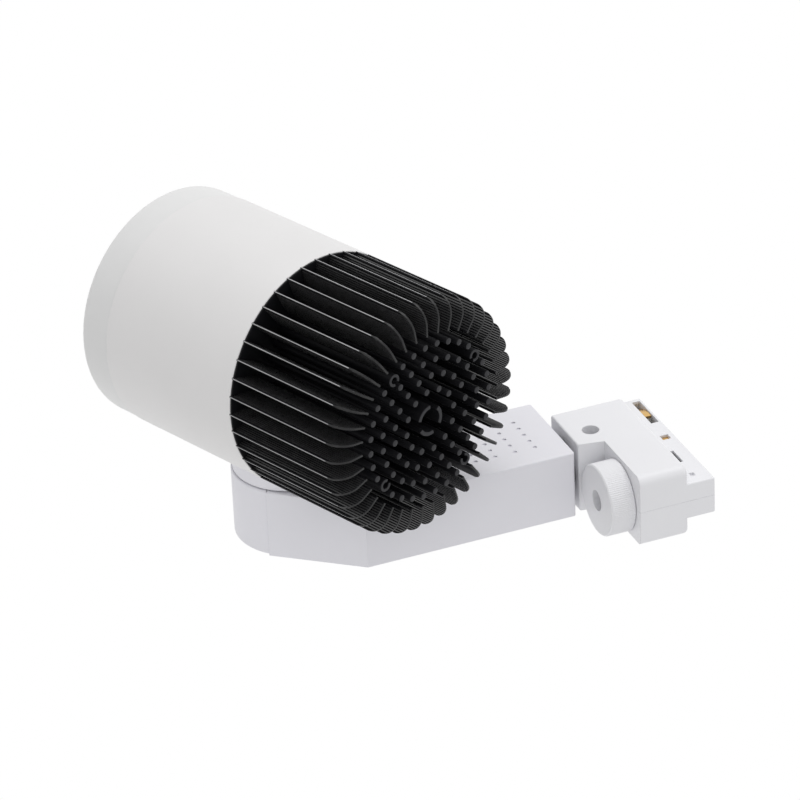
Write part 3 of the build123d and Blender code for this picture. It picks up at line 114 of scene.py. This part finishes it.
def rounded(corners, steps=6):
    """A closed outline of (a, b, radius) corners as points, each corner an arc of its radius."""
    points = []
    count = len(corners)
    for i, (a, b, radius) in enumerate(corners):
        here = Vector((a, b))
        if radius <= 0:
            points.append((a, b))
            continue
        back = (Vector(corners[i - 1][:2]) - here).normalized()
        on = (Vector(corners[(i + 1) % count][:2]) - here).normalized()
        half = acos(max(-1.0, min(1.0, back.dot(on)))) / 2
        centre = here + (back + on).normalized() * (radius / sin(half))
        reach = radius / (sin(half) / cos(half))
        start = here + back * reach - centre
        end = here + on * reach - centre
        turn = start.angle_signed(end)
        for k in range(steps + 1):
            spoke = start.copy()
            spoke.rotate(Matrix.Rotation(-turn * k / steps, 2))
            points.append(tuple(centre + spoke))
    return points


def lathe(name, outline, mat, segments):
    """A closed (radius, t) outline turned about the head's axis."""
    points, faces = [], []
    size = len(outline)
    for s in range(segments):
        angle = tau * s / segments
        for r, t in outline:
            points.append((r * cos(angle), r * sin(angle), t))
    for s in range(segments):
        nxt = (s + 1) % segments
        for i in range(size):
            j = (i + 1) % size
            if outline[i][0] == outline[j][0] == 0:
                continue
            corners = [(s, i), (nxt, i), (nxt, j), (s, j)]
            if outline[i][0] == 0:
                corners.pop(1)
            elif outline[j][0] == 0:
                corners.pop(2)
            faces.append(tuple(a * size + b for a, b in corners))
    return new_object(name, points, faces, [mat], matrix=HEAD)


# ---- material helpers -------------------------------------------------------------------------
class Nodes:
    """A thin builder for one material's node tree."""

    def __init__(self, name):
        self.mat = bpy.data.materials.new(name)
        self.mat.use_nodes = True
        self.tree = self.mat.node_tree
        self.bsdf = self.tree.nodes["Principled BSDF"]
        self.coords = self.add("ShaderNodeTexCoord").outputs["Object"]

    def add(self, kind, **settings):
        node = self.tree.nodes.new(kind)
        for key, value in settings.items():
            setattr(node, key, value)
        return node

    def link(self, a, b):
        self.tree.links.new(a, b)

    def noise(self, scale, detail=3.0, rough=0.55, offset=(0, 0, 0)):
        """A noise value; the offset keeps two noises of one material apart."""
        node = self.add("ShaderNodeTexNoise")
        node.inputs["Scale"].default_value = scale
        node.inputs["Detail"].default_value = detail
        node.inputs["Roughness"].default_value = rough
        mapping = self.add("ShaderNodeMapping")
        mapping.inputs["Location"].default_value = offset
        self.link(self.coords, mapping.inputs["Vector"])
        self.link(mapping.outputs["Vector"], node.inputs["Vector"])
        return node.outputs["Fac"]

    def spread(self, value, low, high, a=0.25, b=0.75):
        """Maps a noise value between a and b onto low to high."""
        node = self.add("ShaderNodeMapRange", clamp=True)
        node.inputs["From Min"].default_value = a
        node.inputs["From Max"].default_value = b
        node.inputs["To Min"].default_value = low
        node.inputs["To Max"].default_value = high
        self.link(value, node.inputs["Value"])
        return node.outputs["Result"]

    def mix(self, factor, first, second):
        node = self.add("ShaderNodeMix", data_type="RGBA")
        node.inputs["A"].default_value = (*first, 1)
        node.inputs["B"].default_value = (*second, 1)
        self.link(factor, node.inputs["Factor"])
        return node.outputs["Result"]

    def bump(self, height, distance, under=None):
        """A normal from a height; under is the normal that it is added to."""
        node = self.add("ShaderNodeBump")
        node.inputs["Distance"].default_value = distance
        self.link(height, node.inputs["Height"])
        if under is not None:
            self.link(under, node.inputs["Normal"])
        return node.outputs["Normal"]

    def set(self, **values):
        """Sets uniform values on the shader, with _ for each space in a socket's name."""
        for key, value in values.items():
            self.bsdf.inputs[key.replace("_", " ")].default_value = value


def tint(color, share):
    return tuple(min(1.0, c * share) for c in color)


def surface(name, color, rough, metallic=0.0, vary=0.03, rough_vary=0.05, tone_scale=35.0,
            grain=2600.0, grain_depth=0.000006, second=None, soft_edge=0.0, **extra):
    """A surface with slow tone changes, uneven roughness and a fine grain in its relief.

    soft_edge, in metres, rounds the look of the part's sharp edges.
    """
    n = Nodes(name)
    tone = n.spread(n.noise(tone_scale, 4.0), 0.0, 1.0)
    n.link(n.mix(tone, tint(color, 1 - vary), second or tint(color, 1 + vary)),
           n.bsdf.inputs["Base Color"])
    wear = n.noise(tone_scale * 9, 5.0, 0.6, (3.1, 1.7, 0.4))
    n.link(n.spread(wear, rough - rough_vary, rough + rough_vary), n.bsdf.inputs["Roughness"])
    fine = n.noise(grain, 2.0, 0.5, (0.2, 5.3, 2.6))
    under = None
    if soft_edge:
        bevel = n.add("ShaderNodeBevel", samples=6)
        bevel.inputs["Radius"].default_value = soft_edge
        under = bevel.outputs["Normal"]
    n.link(n.bump(fine, grain_depth, under=under), n.bsdf.inputs["Normal"])
    n.set(Metallic=metallic, **extra)
    return n.mat


MATS = {
    "tube_paint": surface("tube_paint", (0.73, 0.722, 0.722), 0.42, vary=0.012, grain=1400.0,
                          grain_depth=0.000012, Coat_Weight=0.15, Coat_Roughness=0.3),
    "frosted_ring": surface("frosted_ring", (0.72, 0.72, 0.72), 0.34, vary=0.015, grain=3200.0,
                            Subsurface_Weight=0.25, Subsurface_Radius=(0.004, 0.004, 0.004)),
    "white_moulding": surface("white_moulding", (0.82, 0.82, 0.845), 0.4, vary=0.012,
                              grain=2100.0, grain_depth=0.00001, soft_edge=0.0005),
    "box_moulding": surface("box_moulding", (0.785, 0.78, 0.825), 0.42, vary=0.012,
                            grain=1700.0, grain_depth=0.000012, soft_edge=0.0003),
    "zinc_steel": surface("zinc_steel", (0.56, 0.56, 0.57), 0.3, 1.0, vary=0.08, rough_vary=0.1),
    "contact_brass": surface("contact_brass", (0.80, 0.52, 0.20), 0.28, 1.0, vary=0.1,
                             second=(0.62, 0.38, 0.14), rough_vary=0.1),
    "inner_nylon": surface("inner_nylon", (0.72, 0.71, 0.67), 0.5),
    "dark_collar": surface("dark_collar", (0.02, 0.02, 0.022), 0.5, vary=0.2),
    "cast_pad": surface("cast_pad", (0.55, 0.55, 0.56), 0.45, 1.0, vary=0.08, grain=1500.0),
    "circuit_board": surface("circuit_board", (0.03, 0.20, 0.08), 0.35, vary=0.2),
    "ferrite": surface("ferrite", (0.05, 0.05, 0.05), 0.6, vary=0.15),
    "capacitor_sleeve": surface("capacitor_sleeve", (0.03, 0.03, 0.06), 0.25, vary=0.15),
    "dark_component": surface("dark_component", (0.05, 0.05, 0.055), 0.45, vary=0.15),
    "insulation_film": surface("insulation_film", (0.70, 0.69, 0.62), 0.3, vary=0.05),
    "cable_sheath": surface("cable_sheath", (0.08, 0.08, 0.085), 0.55, vary=0.15),
    "thermal_gum": surface("thermal_gum", (0.40, 0.40, 0.43), 0.7, vary=0.08),
    "ceramic": surface("ceramic", (0.84, 0.84, 0.82), 0.45, vary=0.02),
    "phosphor": surface("phosphor", (0.90, 0.66, 0.10), 0.4, vary=0.06, grain=3000.0),
    "black_anodised": surface("black_anodised", (0.0075, 0.0075, 0.009), 0.42, vary=0.25,
                              rough_vary=0.06, grain=3500.0, grain_depth=0.000008,
                              Specular_IOR_Level=0.2),
    "pin_side": surface("pin_side", (0.009, 0.009, 0.0105), 0.5, vary=0.25, grain=3500.0,
                        grain_depth=0.000008, Specular_IOR_Level=0.1),
    # painted sheen: the falling flank of each rib on the fins is a lighter grey than the black
    # finish, for the sheen of light along the ribs
    "rib_painted_sheen": surface("rib_painted_sheen", (0.034, 0.034, 0.035), 0.28, vary=0.4, tone_scale=300.0,
                         Specular_IOR_Level=0.7),
    # painted highlight: the fins' outer edges are light grey, for the bright line of light
    # reflected along them
    "edge_painted_highlight": surface("edge_painted_highlight", (0.42, 0.42, 0.43), 0.35, vary=0.25, rough_vary=0.1),
    # painted light: the rear tops of the pins, bosses and core arcs are a lighter grey than their
    # black sides, where light falls on them
    "painted_light_top": surface("painted_light_top", (0.019, 0.019, 0.022), 0.5, vary=0.2, Specular_IOR_Level=0.3),
    "forged_edge": surface("forged_edge", (0.016, 0.016, 0.017), 0.36, vary=0.5, tone_scale=500.0,
                           rough_vary=0.12, Specular_IOR_Level=0.3),
    "reflector_metal": surface("reflector_metal", (0.80, 0.80, 0.81), 0.14, 1.0, vary=0.03,
                               grain=2400.0),
}


def clear_glass():
    n = Nodes("clear_glass")
    n.link(n.spread(n.noise(60.0), 0.01, 0.04), n.bsdf.inputs["Roughness"])
    n.link(n.mix(n.spread(n.noise(20.0), 0, 1), (0.95, 0.97, 0.965), (0.97, 0.985, 0.98)),
           n.bsdf.inputs["Base Color"])
    n.set(Transmission_Weight=1.0, IOR=1.5)
    return n.mat


MATS["clear_glass"] = clear_glass()


# ---- CAD nodes take their finish --------------------------------------------------------------
def paint(node, name):
    mesh = nodes[node].data
    mesh.materials.clear()
    mesh.materials.append(MATS[name])


for entry in frame["record"]["subparts"]:
    paint(entry["node"], entry["material_slot"])


# ---- lamp head --------------------------------------------------------------------------------
def place(piece, body, slot, *replaced):
    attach(piece, body)
    if replaced:
        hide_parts(*replaced)


def lamp_tube():
    rim, inner = 0.45, 0.25
    outline = rounded([(TUBE_BORE, TUBE_FRONT, inner), (TUBE_R, TUBE_FRONT, rim),
                       (TUBE_R, TUBE_REAR, rim), (TUBE_BORE, TUBE_REAR, inner),
                       (TUBE_BORE, WEB_REAR, 0), (WEB_HOLE_R, WEB_REAR, 0),
                       (WEB_HOLE_R, WEB_FRONT, 0), (TUBE_BORE, WEB_FRONT, 0)], 4)
    place(lathe("lamp_tube_spun", outline, MATS["tube_paint"], ROUND_SEGMENTS), "lamp_head",
          "tube_paint", "lamp_tube")


def front_ring():
    ease, inner_rim, front_rim = 0.3, 1.2, 3.0
    outline = rounded([(RING_BORE, RING_FRONT, inner_rim), (RING_R, RING_FRONT, front_rim),
                       (RING_R, TUBE_FRONT, ease), (SPIGOT_R, TUBE_FRONT, 0),
                       (SPIGOT_R, SPIGOT_END, ease), (SPIGOT_BORE, SPIGOT_END, ease),
                       (SPIGOT_BORE, GLASS_BACK, 0), (GLASS_SEAT_R, GLASS_BACK, 0),
                       (GLASS_SEAT_R, GLASS_SEAT, 0), (RING_BORE, GLASS_SEAT, ease)], 8)
    place(lathe("front_ring_frosted", outline, MATS["frosted_ring"], ROUND_SEGMENTS), "lamp_head",
          "frosted_ring", "front_ring")


# The light grey of the fins' outer edges is a painted highlight.
# The lighter grey of the rear tops of pins and bars is painted light.
# The lighter grey of the rib flanks is a painted sheen.
SINK_MATS = ("black_anodised", "edge_painted_highlight", "painted_light_top", "forged_edge", "pin_side", "rib_painted_sheen")
BLACK, EDGE_HIGHLIGHT, PAINTED_LIGHT_TOP, FORGED, PIN_SIDE, RIB_SHEEN = range(6)  # their places in SINK_MATS
SINK_BURIED = 0.3  # how far a pin or bar starts inside the base
FIN_COUNT = 40
FIN_HALF = 0.62  # half a fin's thickness
FIN_INNER = 43.5
FIN_CORNER = 9.0
FIN_EASE = 0.2
RIB_PITCH = 1.2
RIB_DEPTH = 0.18
PLAIN_STEPS = 5  # steps of the profile at the fin's outer edge that have no ribs
PIN_RINGS = [(15.3, 12, 0.0), (23.0, 18, 0.5), (30.7, 24, 0.0), (38.4, 32, 0.0)]  # r, count, phase
PIN_R_FOOT, PIN_R_TOP, PIN_DOME = 1.8, 1.62, 0.2
PIN_SEGMENTS = 20
FLANGE_R, FLANGE_END = 57.9, 24.4
BOSS_COUNT, BOSS_R = 4, 36.9
BOSS_OUTER, BOSS_INNER, BOSS_SLIT = 3.1, 1.7, 2.2
BOSS_ROOM = 1.6  # kept free of pins around a boss
ARC_COUNT, ARC_R, ARC_WIDTH, ARC_SPAN = 3, 6.8, 1.9, 76.0
ARC_TURN = -30  # the first core arc's place from the first boss, in degrees


def fin_end(r):
    """Where a fin ends, at a radius, on its rounded rear corner."""
    over = r - (TUBE_R - FIN_CORNER)
    if over <= 0:
        return SINK_END
    return SINK_END - FIN_CORNER + sqrt(max(0.0, FIN_CORNER ** 2 - over ** 2))


def fin_profile():
    """Half of a fin's ribbed cross-section, as (radius, half thickness) outwards."""
    points = [(FIN_INNER, FIN_HALF - 0.2), (FIN_INNER + 0.2, FIN_HALF)]
    r = FIN_INNER + 0.9
    while r < TUBE_R - 1.6:
        points += [(r, FIN_HALF), (r + RIB_PITCH * 0.5, FIN_HALF - RIB_DEPTH)]
        r += RIB_PITCH
    points += [(TUBE_R - 0.8, FIN_HALF), (TUBE_R - 0.4, FIN_HALF - 0.04),
               (TUBE_R - 0.16, FIN_HALF - 0.16), (TUBE_R - 0.04, FIN_HALF - 0.3),
               (TUBE_R, FIN_HALF - 0.44)]
    return points


def add_fins(points, faces, indices):
    """The fins. Each profile point stands at the foot, before the rear edge's ease and after it."""
    half = fin_profile()
    for k in range(FIN_COUNT):
        angle = radians(SINK_ANGLE) + tau * k / FIN_COUNT
        radial = Vector((cos(angle), sin(angle)))
        side = Vector((-sin(angle), cos(angle)))
        rows = []
        for sign in (1, -1):
            row = []
            for r, h in half:
                xy = radial * r + side * (h * sign)
                inset = radial * r + side * ((h - FIN_EASE) * sign)
                ends = []
                for spot, t in ((xy, TUBE_REAR - 0.4), (xy, fin_end(r) - FIN_EASE),
                                (inset, fin_end(r))):
                    ends.append(len(points))
                    points.append((spot.x, spot.y, t))
                row.append(ends)
            rows.append(row)
        left, right = rows
        last = len(half) - 1
        for i in range(last):
            falls = half[i + 1][1] < half[i][1]
            # the falling rib flanks, away from the plain outer steps, take the lighter grey painted
            # sheen
            flank = RIB_SHEEN if falls and i + PLAIN_STEPS < last else BLACK
            for row in (left, right):
                faces.append((row[i][0], row[i + 1][0], row[i + 1][1], row[i][1]))
                faces.append((row[i][1], row[i + 1][1], row[i + 1][2], row[i][2]))
                indices += [flank, FORGED]
            faces.append((left[i][2], left[i + 1][2], right[i + 1][2], right[i][2]))
            faces.append((left[i][0], left[i + 1][0], right[i + 1][0], right[i][0]))
            indices += [FORGED, BLACK]
        # the strip along each fin's outer edge takes the light grey painted highlight
        for i, mats in ((0, (BLACK, BLACK)), (last, (EDGE_HIGHLIGHT, FORGED))):
            a, b = left[i], right[i]
            faces.append((a[0], b[0], b[1], a[1]))
            faces.append((a[1], b[1], b[2], a[2]))
            indices += mats


# The last band of each pin's dome and its flat top take the lighter grey painted light.
PIN_PROFILE = [(PIN_R_FOOT + 0.5, TUBE_REAR - SINK_BURIED, PIN_SIDE),
               (PIN_R_FOOT + 0.12, TUBE_REAR + 0.5, PIN_SIDE),
               (PIN_R_FOOT, TUBE_REAR + 1.2, PIN_SIDE),
               (PIN_R_TOP, SINK_END - PIN_DOME, PIN_SIDE),
               (PIN_R_TOP - 0.06, SINK_END - PIN_DOME * 0.3, BLACK),
               (PIN_R_TOP - PIN_DOME, SINK_END, PAINTED_LIGHT_TOP)]


def add_pin(points, faces, indices, x, y):
    """A pin from its (radius, t, material) profile, flared at its foot and closed at both ends."""
    base = len(points)
    for r, t, _ in PIN_PROFILE:
        for s in range(PIN_SEGMENTS):
            angle = tau * s / PIN_SEGMENTS
            points.append((x + r * cos(angle), y + r * sin(angle), t))
    for i in range(len(PIN_PROFILE) - 1):
        low, high = base + i * PIN_SEGMENTS, base + (i + 1) * PIN_SEGMENTS
        for s in range(PIN_SEGMENTS):
            n = (s + 1) % PIN_SEGMENTS
            faces.append((low + s, low + n, high + n, high + s))
            indices.append(PIN_PROFILE[i + 1][2])
    top = base + (len(PIN_PROFILE) - 1) * PIN_SEGMENTS
    # the flat top takes the lighter grey painted light
    for level, mat in ((base, BLACK), (top, PAINTED_LIGHT_TOP)):
        faces.append(tuple(level + s for s in range(PIN_SEGMENTS)))
        indices.append(mat)


def near_boss(angle):
    for k in range(BOSS_COUNT):
        other = radians(SINK_ANGLE) + tau / BOSS_COUNT * k
        gap = abs((angle - other + pi) % tau - pi)
        if gap * BOSS_R < BOSS_OUTER + BOSS_ROOM:
            return True
    return False


def add_pins(points, faces, indices):
    start = radians(SINK_ANGLE)
    for radius, count, phase in PIN_RINGS:
        for k in range(count):
            angle = start + tau * (k + phase) / count
            if radius > BOSS_R and near_boss(angle):
                continue
            add_pin(points, faces, indices, radius * cos(angle), radius * sin(angle))


def arc_bar(points, faces, indices, centre, span, inner, outer, heading):
    """A curved bar about a centre, from the base to the fins' ends, its rear rim eased."""
    steps = max(8, int(degrees(span) / 9))
    ease = 0.25
    base = len(points)
    layers = [(0, TUBE_REAR - SINK_BURIED), (0, SINK_END - ease), (ease, SINK_END)]
    for inset, t in layers:
        for s in range(steps + 1):
            a = heading - span / 2 + span * s / steps
            for r in (inner + inset, outer - inset):
                points.append((centre[0] + r * cos(a), centre[1] + r * sin(a), t))
    stride = 2 * (steps + 1)
    for layer in range(2):
        low, high = base + layer * stride, base + (layer + 1) * stride
        # the eased rear rim takes the lighter grey painted light
        mat = PIN_SIDE if layer == 0 else PAINTED_LIGHT_TOP
        for s in range(steps):
            i = 2 * s
            for k in (0, 1):
                faces.append((low + i + k, low + i + 2 + k, high + i + 2 + k, high + i + k))
                indices.append(mat)
        for i in (0, 2 * steps):
            faces.append((low + i, low + i + 1, high + i + 1, high + i))
            indices.append(mat)
    # the rear top takes the lighter grey painted light
    for level, mat in ((base, BLACK), (base + 2 * stride, PAINTED_LIGHT_TOP)):
        for s in range(steps):
            i = 2 * s
            faces.append((level + i, level + i + 1, level + i + 3, level + i + 2))
            indices.append(mat)


def add_bosses_and_arcs(points, faces, indices):
    """The slit screw bosses between the pins and the three core arcs in the middle."""
    open_half = asin(BOSS_SLIT / 2 / ((BOSS_OUTER + BOSS_INNER) / 2))
    for k in range(BOSS_COUNT):
        angle = radians(SINK_ANGLE) + tau / BOSS_COUNT * k
        centre = (BOSS_R * cos(angle), BOSS_R * sin(angle))
        arc_bar(points, faces, indices, centre, tau - 2 * open_half, BOSS_INNER, BOSS_OUTER, angle)
    for k in range(ARC_COUNT):
        heading = radians(SINK_ANGLE + ARC_TURN + 360 / ARC_COUNT * k)
        arc_bar(points, faces, indices, (0, 0), radians(ARC_SPAN), ARC_R - ARC_WIDTH / 2,
                ARC_R + ARC_WIDTH / 2, heading)


def heat_sink():
    points, faces, indices = [], [], []
    add_fins(points, faces, indices)
    add_pins(points, faces, indices)
    add_bosses_and_arcs(points, faces, indices)
    mats = [MATS[name] for name in SINK_MATS]
    upper = new_object("heat_sink_fins", points, faces, mats, indices, 28.0, HEAD)
    core_r, plug_r, plug_front, flange_front = 23.6, 56.1, 18.75, TUBE_REAR + 0.02
    outline = rounded([(0, WEB_FRONT, 0), (core_r, WEB_FRONT, 0.3), (core_r, plug_front, 0),
                       (plug_r, plug_front, 0.2), (plug_r, flange_front, 0),
                       (FLANGE_R, flange_front, 0.1), (FLANGE_R, FLANGE_END, 0.2),
                       (0, FLANGE_END, 0)], 3)
    base = lathe("heat_sink_base", outline, MATS["black_anodised"], BASE_SEGMENTS)
    place(upper, "lamp_head", "black_anodised", "heat_sink")
    place(base, "lamp_head", "black_anodised", "heat_sink")


lamp_tube()
front_ring()
heat_sink()


# ---- stage ------------------------------------------------------------------------------------
# The camera was fitted to the photo's edges. Angles in radians, distance in metres, lens in mm.
CAMERA_YAW, CAMERA_PITCH, CAMERA_ROLL = 0.367, 0.518, -0.046
CAMERA_TARGET = Vector((-48.6, -36.54, -109.57)) * MM
CAMERA_DISTANCE = 2.2736
CAMERA_LENS, CAMERA_SENSOR = 213.09, 36.0


def row_of(a, b, c):
    """A direction measured with the lamp lying on its side, in the row frame."""
    return Vector((-b, -c, a))


def camera():
    """Sets the camera up and returns its right, up and ahead directions."""
    y, p, r = CAMERA_YAW, CAMERA_PITCH, CAMERA_ROLL
    ahead = Vector((sin(y) * cos(p), cos(y) * cos(p), -sin(p)))
    level = Vector((cos(y), -sin(y), 0))
    over = level.cross(ahead)
    right = row_of(*(level * cos(r) + over * sin(r)))
    up = row_of(*(over * cos(r) - level * sin(r)))
    ahead = row_of(*ahead)
    data = bpy.data.cameras.new("camera")
    data.lens = CAMERA_LENS
    data.sensor_width = CAMERA_SENSOR
    data.clip_start, data.clip_end = 0.05, 100.0
    cam = bpy.data.objects.new("camera", data)
    m = Matrix((right, up, -ahead)).transposed().to_4x4()
    m.translation = CAMERA_TARGET - ahead * CAMERA_DISTANCE
    cam.matrix_world = m
    bpy.context.scene.collection.objects.link(cam)
    bpy.context.scene.camera = cam
    return right, up, ahead


RIGHT, UP, AHEAD = camera()


def area_light(name, offset, size, power):
    """A square soft light at a place beside the lamp, turned to its middle."""
    data = bpy.data.lights.new(name, "AREA")
    data.shape = "SQUARE"
    data.size = size
    data.energy = power
    light = bpy.data.objects.new(name, data)
    light.location = CAMERA_TARGET + offset
    light.rotation_mode = "QUATERNION"
    light.rotation_quaternion = (-offset).to_track_quat("-Z", "Y")
    bpy.context.scene.collection.objects.link(light)


def is_seen(tree):
    """1 where the camera, a mirror or glass sees the surface, 0 where it only gives light."""
    path = tree.nodes.new("ShaderNodeLightPath")
    total = path.outputs["Is Camera Ray"]
    for name in ("Is Glossy Ray", "Is Transmission Ray"):
        node = tree.nodes.new("ShaderNodeMath")
        node.operation = "MAXIMUM"
        tree.links.new(total, node.inputs[0])
        tree.links.new(path.outputs[name], node.inputs[1])
        total = node.outputs[0]
    return total


AMBIENT = 0.74
FLOOR_HALF, FLOOR_Z = 6000.0, -2700.0  # millimetres


def world():
    """A plain white surround: full white where it is seen, AMBIENT where it only gives light."""
    w = bpy.data.worlds.new("studio")
    bpy.context.scene.world = w
    w.use_nodes = True
    tree = w.node_tree
    tree.nodes.clear()
    out = tree.nodes.new("ShaderNodeOutputWorld")
    mix = tree.nodes.new("ShaderNodeMixShader")
    light, white = (tree.nodes.new("ShaderNodeBackground") for _ in range(2))
    light.inputs["Strength"].default_value = AMBIENT
    for node in (light, white):
        node.inputs["Color"].default_value = (1, 1, 1, 1)
    tree.links.new(is_seen(tree), mix.inputs["Fac"])
    tree.links.new(light.outputs[0], mix.inputs[1])
    tree.links.new(white.outputs[0], mix.inputs[2])
    tree.links.new(mix.outputs[0], out.inputs["Surface"])


def floor():
    """A plain pale floor far below the hanging lamp."""
    n = Nodes("floor")
    n.link(n.mix(n.spread(n.noise(1.5), 0, 1), (0.90, 0.90, 0.90), (0.93, 0.93, 0.93)),
           n.bsdf.inputs["Base Color"])
    n.set(Roughness=0.8)
    tree = n.tree
    emit = n.add("ShaderNodeEmission")
    mix = n.add("ShaderNodeMixShader")
    tree.links.new(is_seen(tree), mix.inputs["Fac"])
    tree.links.new(n.bsdf.outputs[0], mix.inputs[1])
    tree.links.new(emit.outputs[0], mix.inputs[2])
    tree.links.new(mix.outputs[0], tree.nodes["Material Output"].inputs["Surface"])
    points = [(x * FLOOR_HALF, y * FLOOR_HALF, FLOOR_Z)
              for x, y in ((-1, -1), (1, -1), (1, 1), (-1, 1))]
    new_object("floor", points, [(0, 1, 2, 3)], [n.mat])


area_light("key", UP * 1.8 + RIGHT * 0.3 - AHEAD * 0.7, 1.5, 14.0)
area_light("fill", -AHEAD * 1.8 - RIGHT * 0.8 - UP * 0.4, 1.2, 2.0)
area_light("ground_bounce", -UP * 1.8 - RIGHT * 0.6 - AHEAD * 0.2, 1.6, 2.0)
world()
floor()

scene = bpy.context.scene
scene.view_settings.view_transform = "Standard"
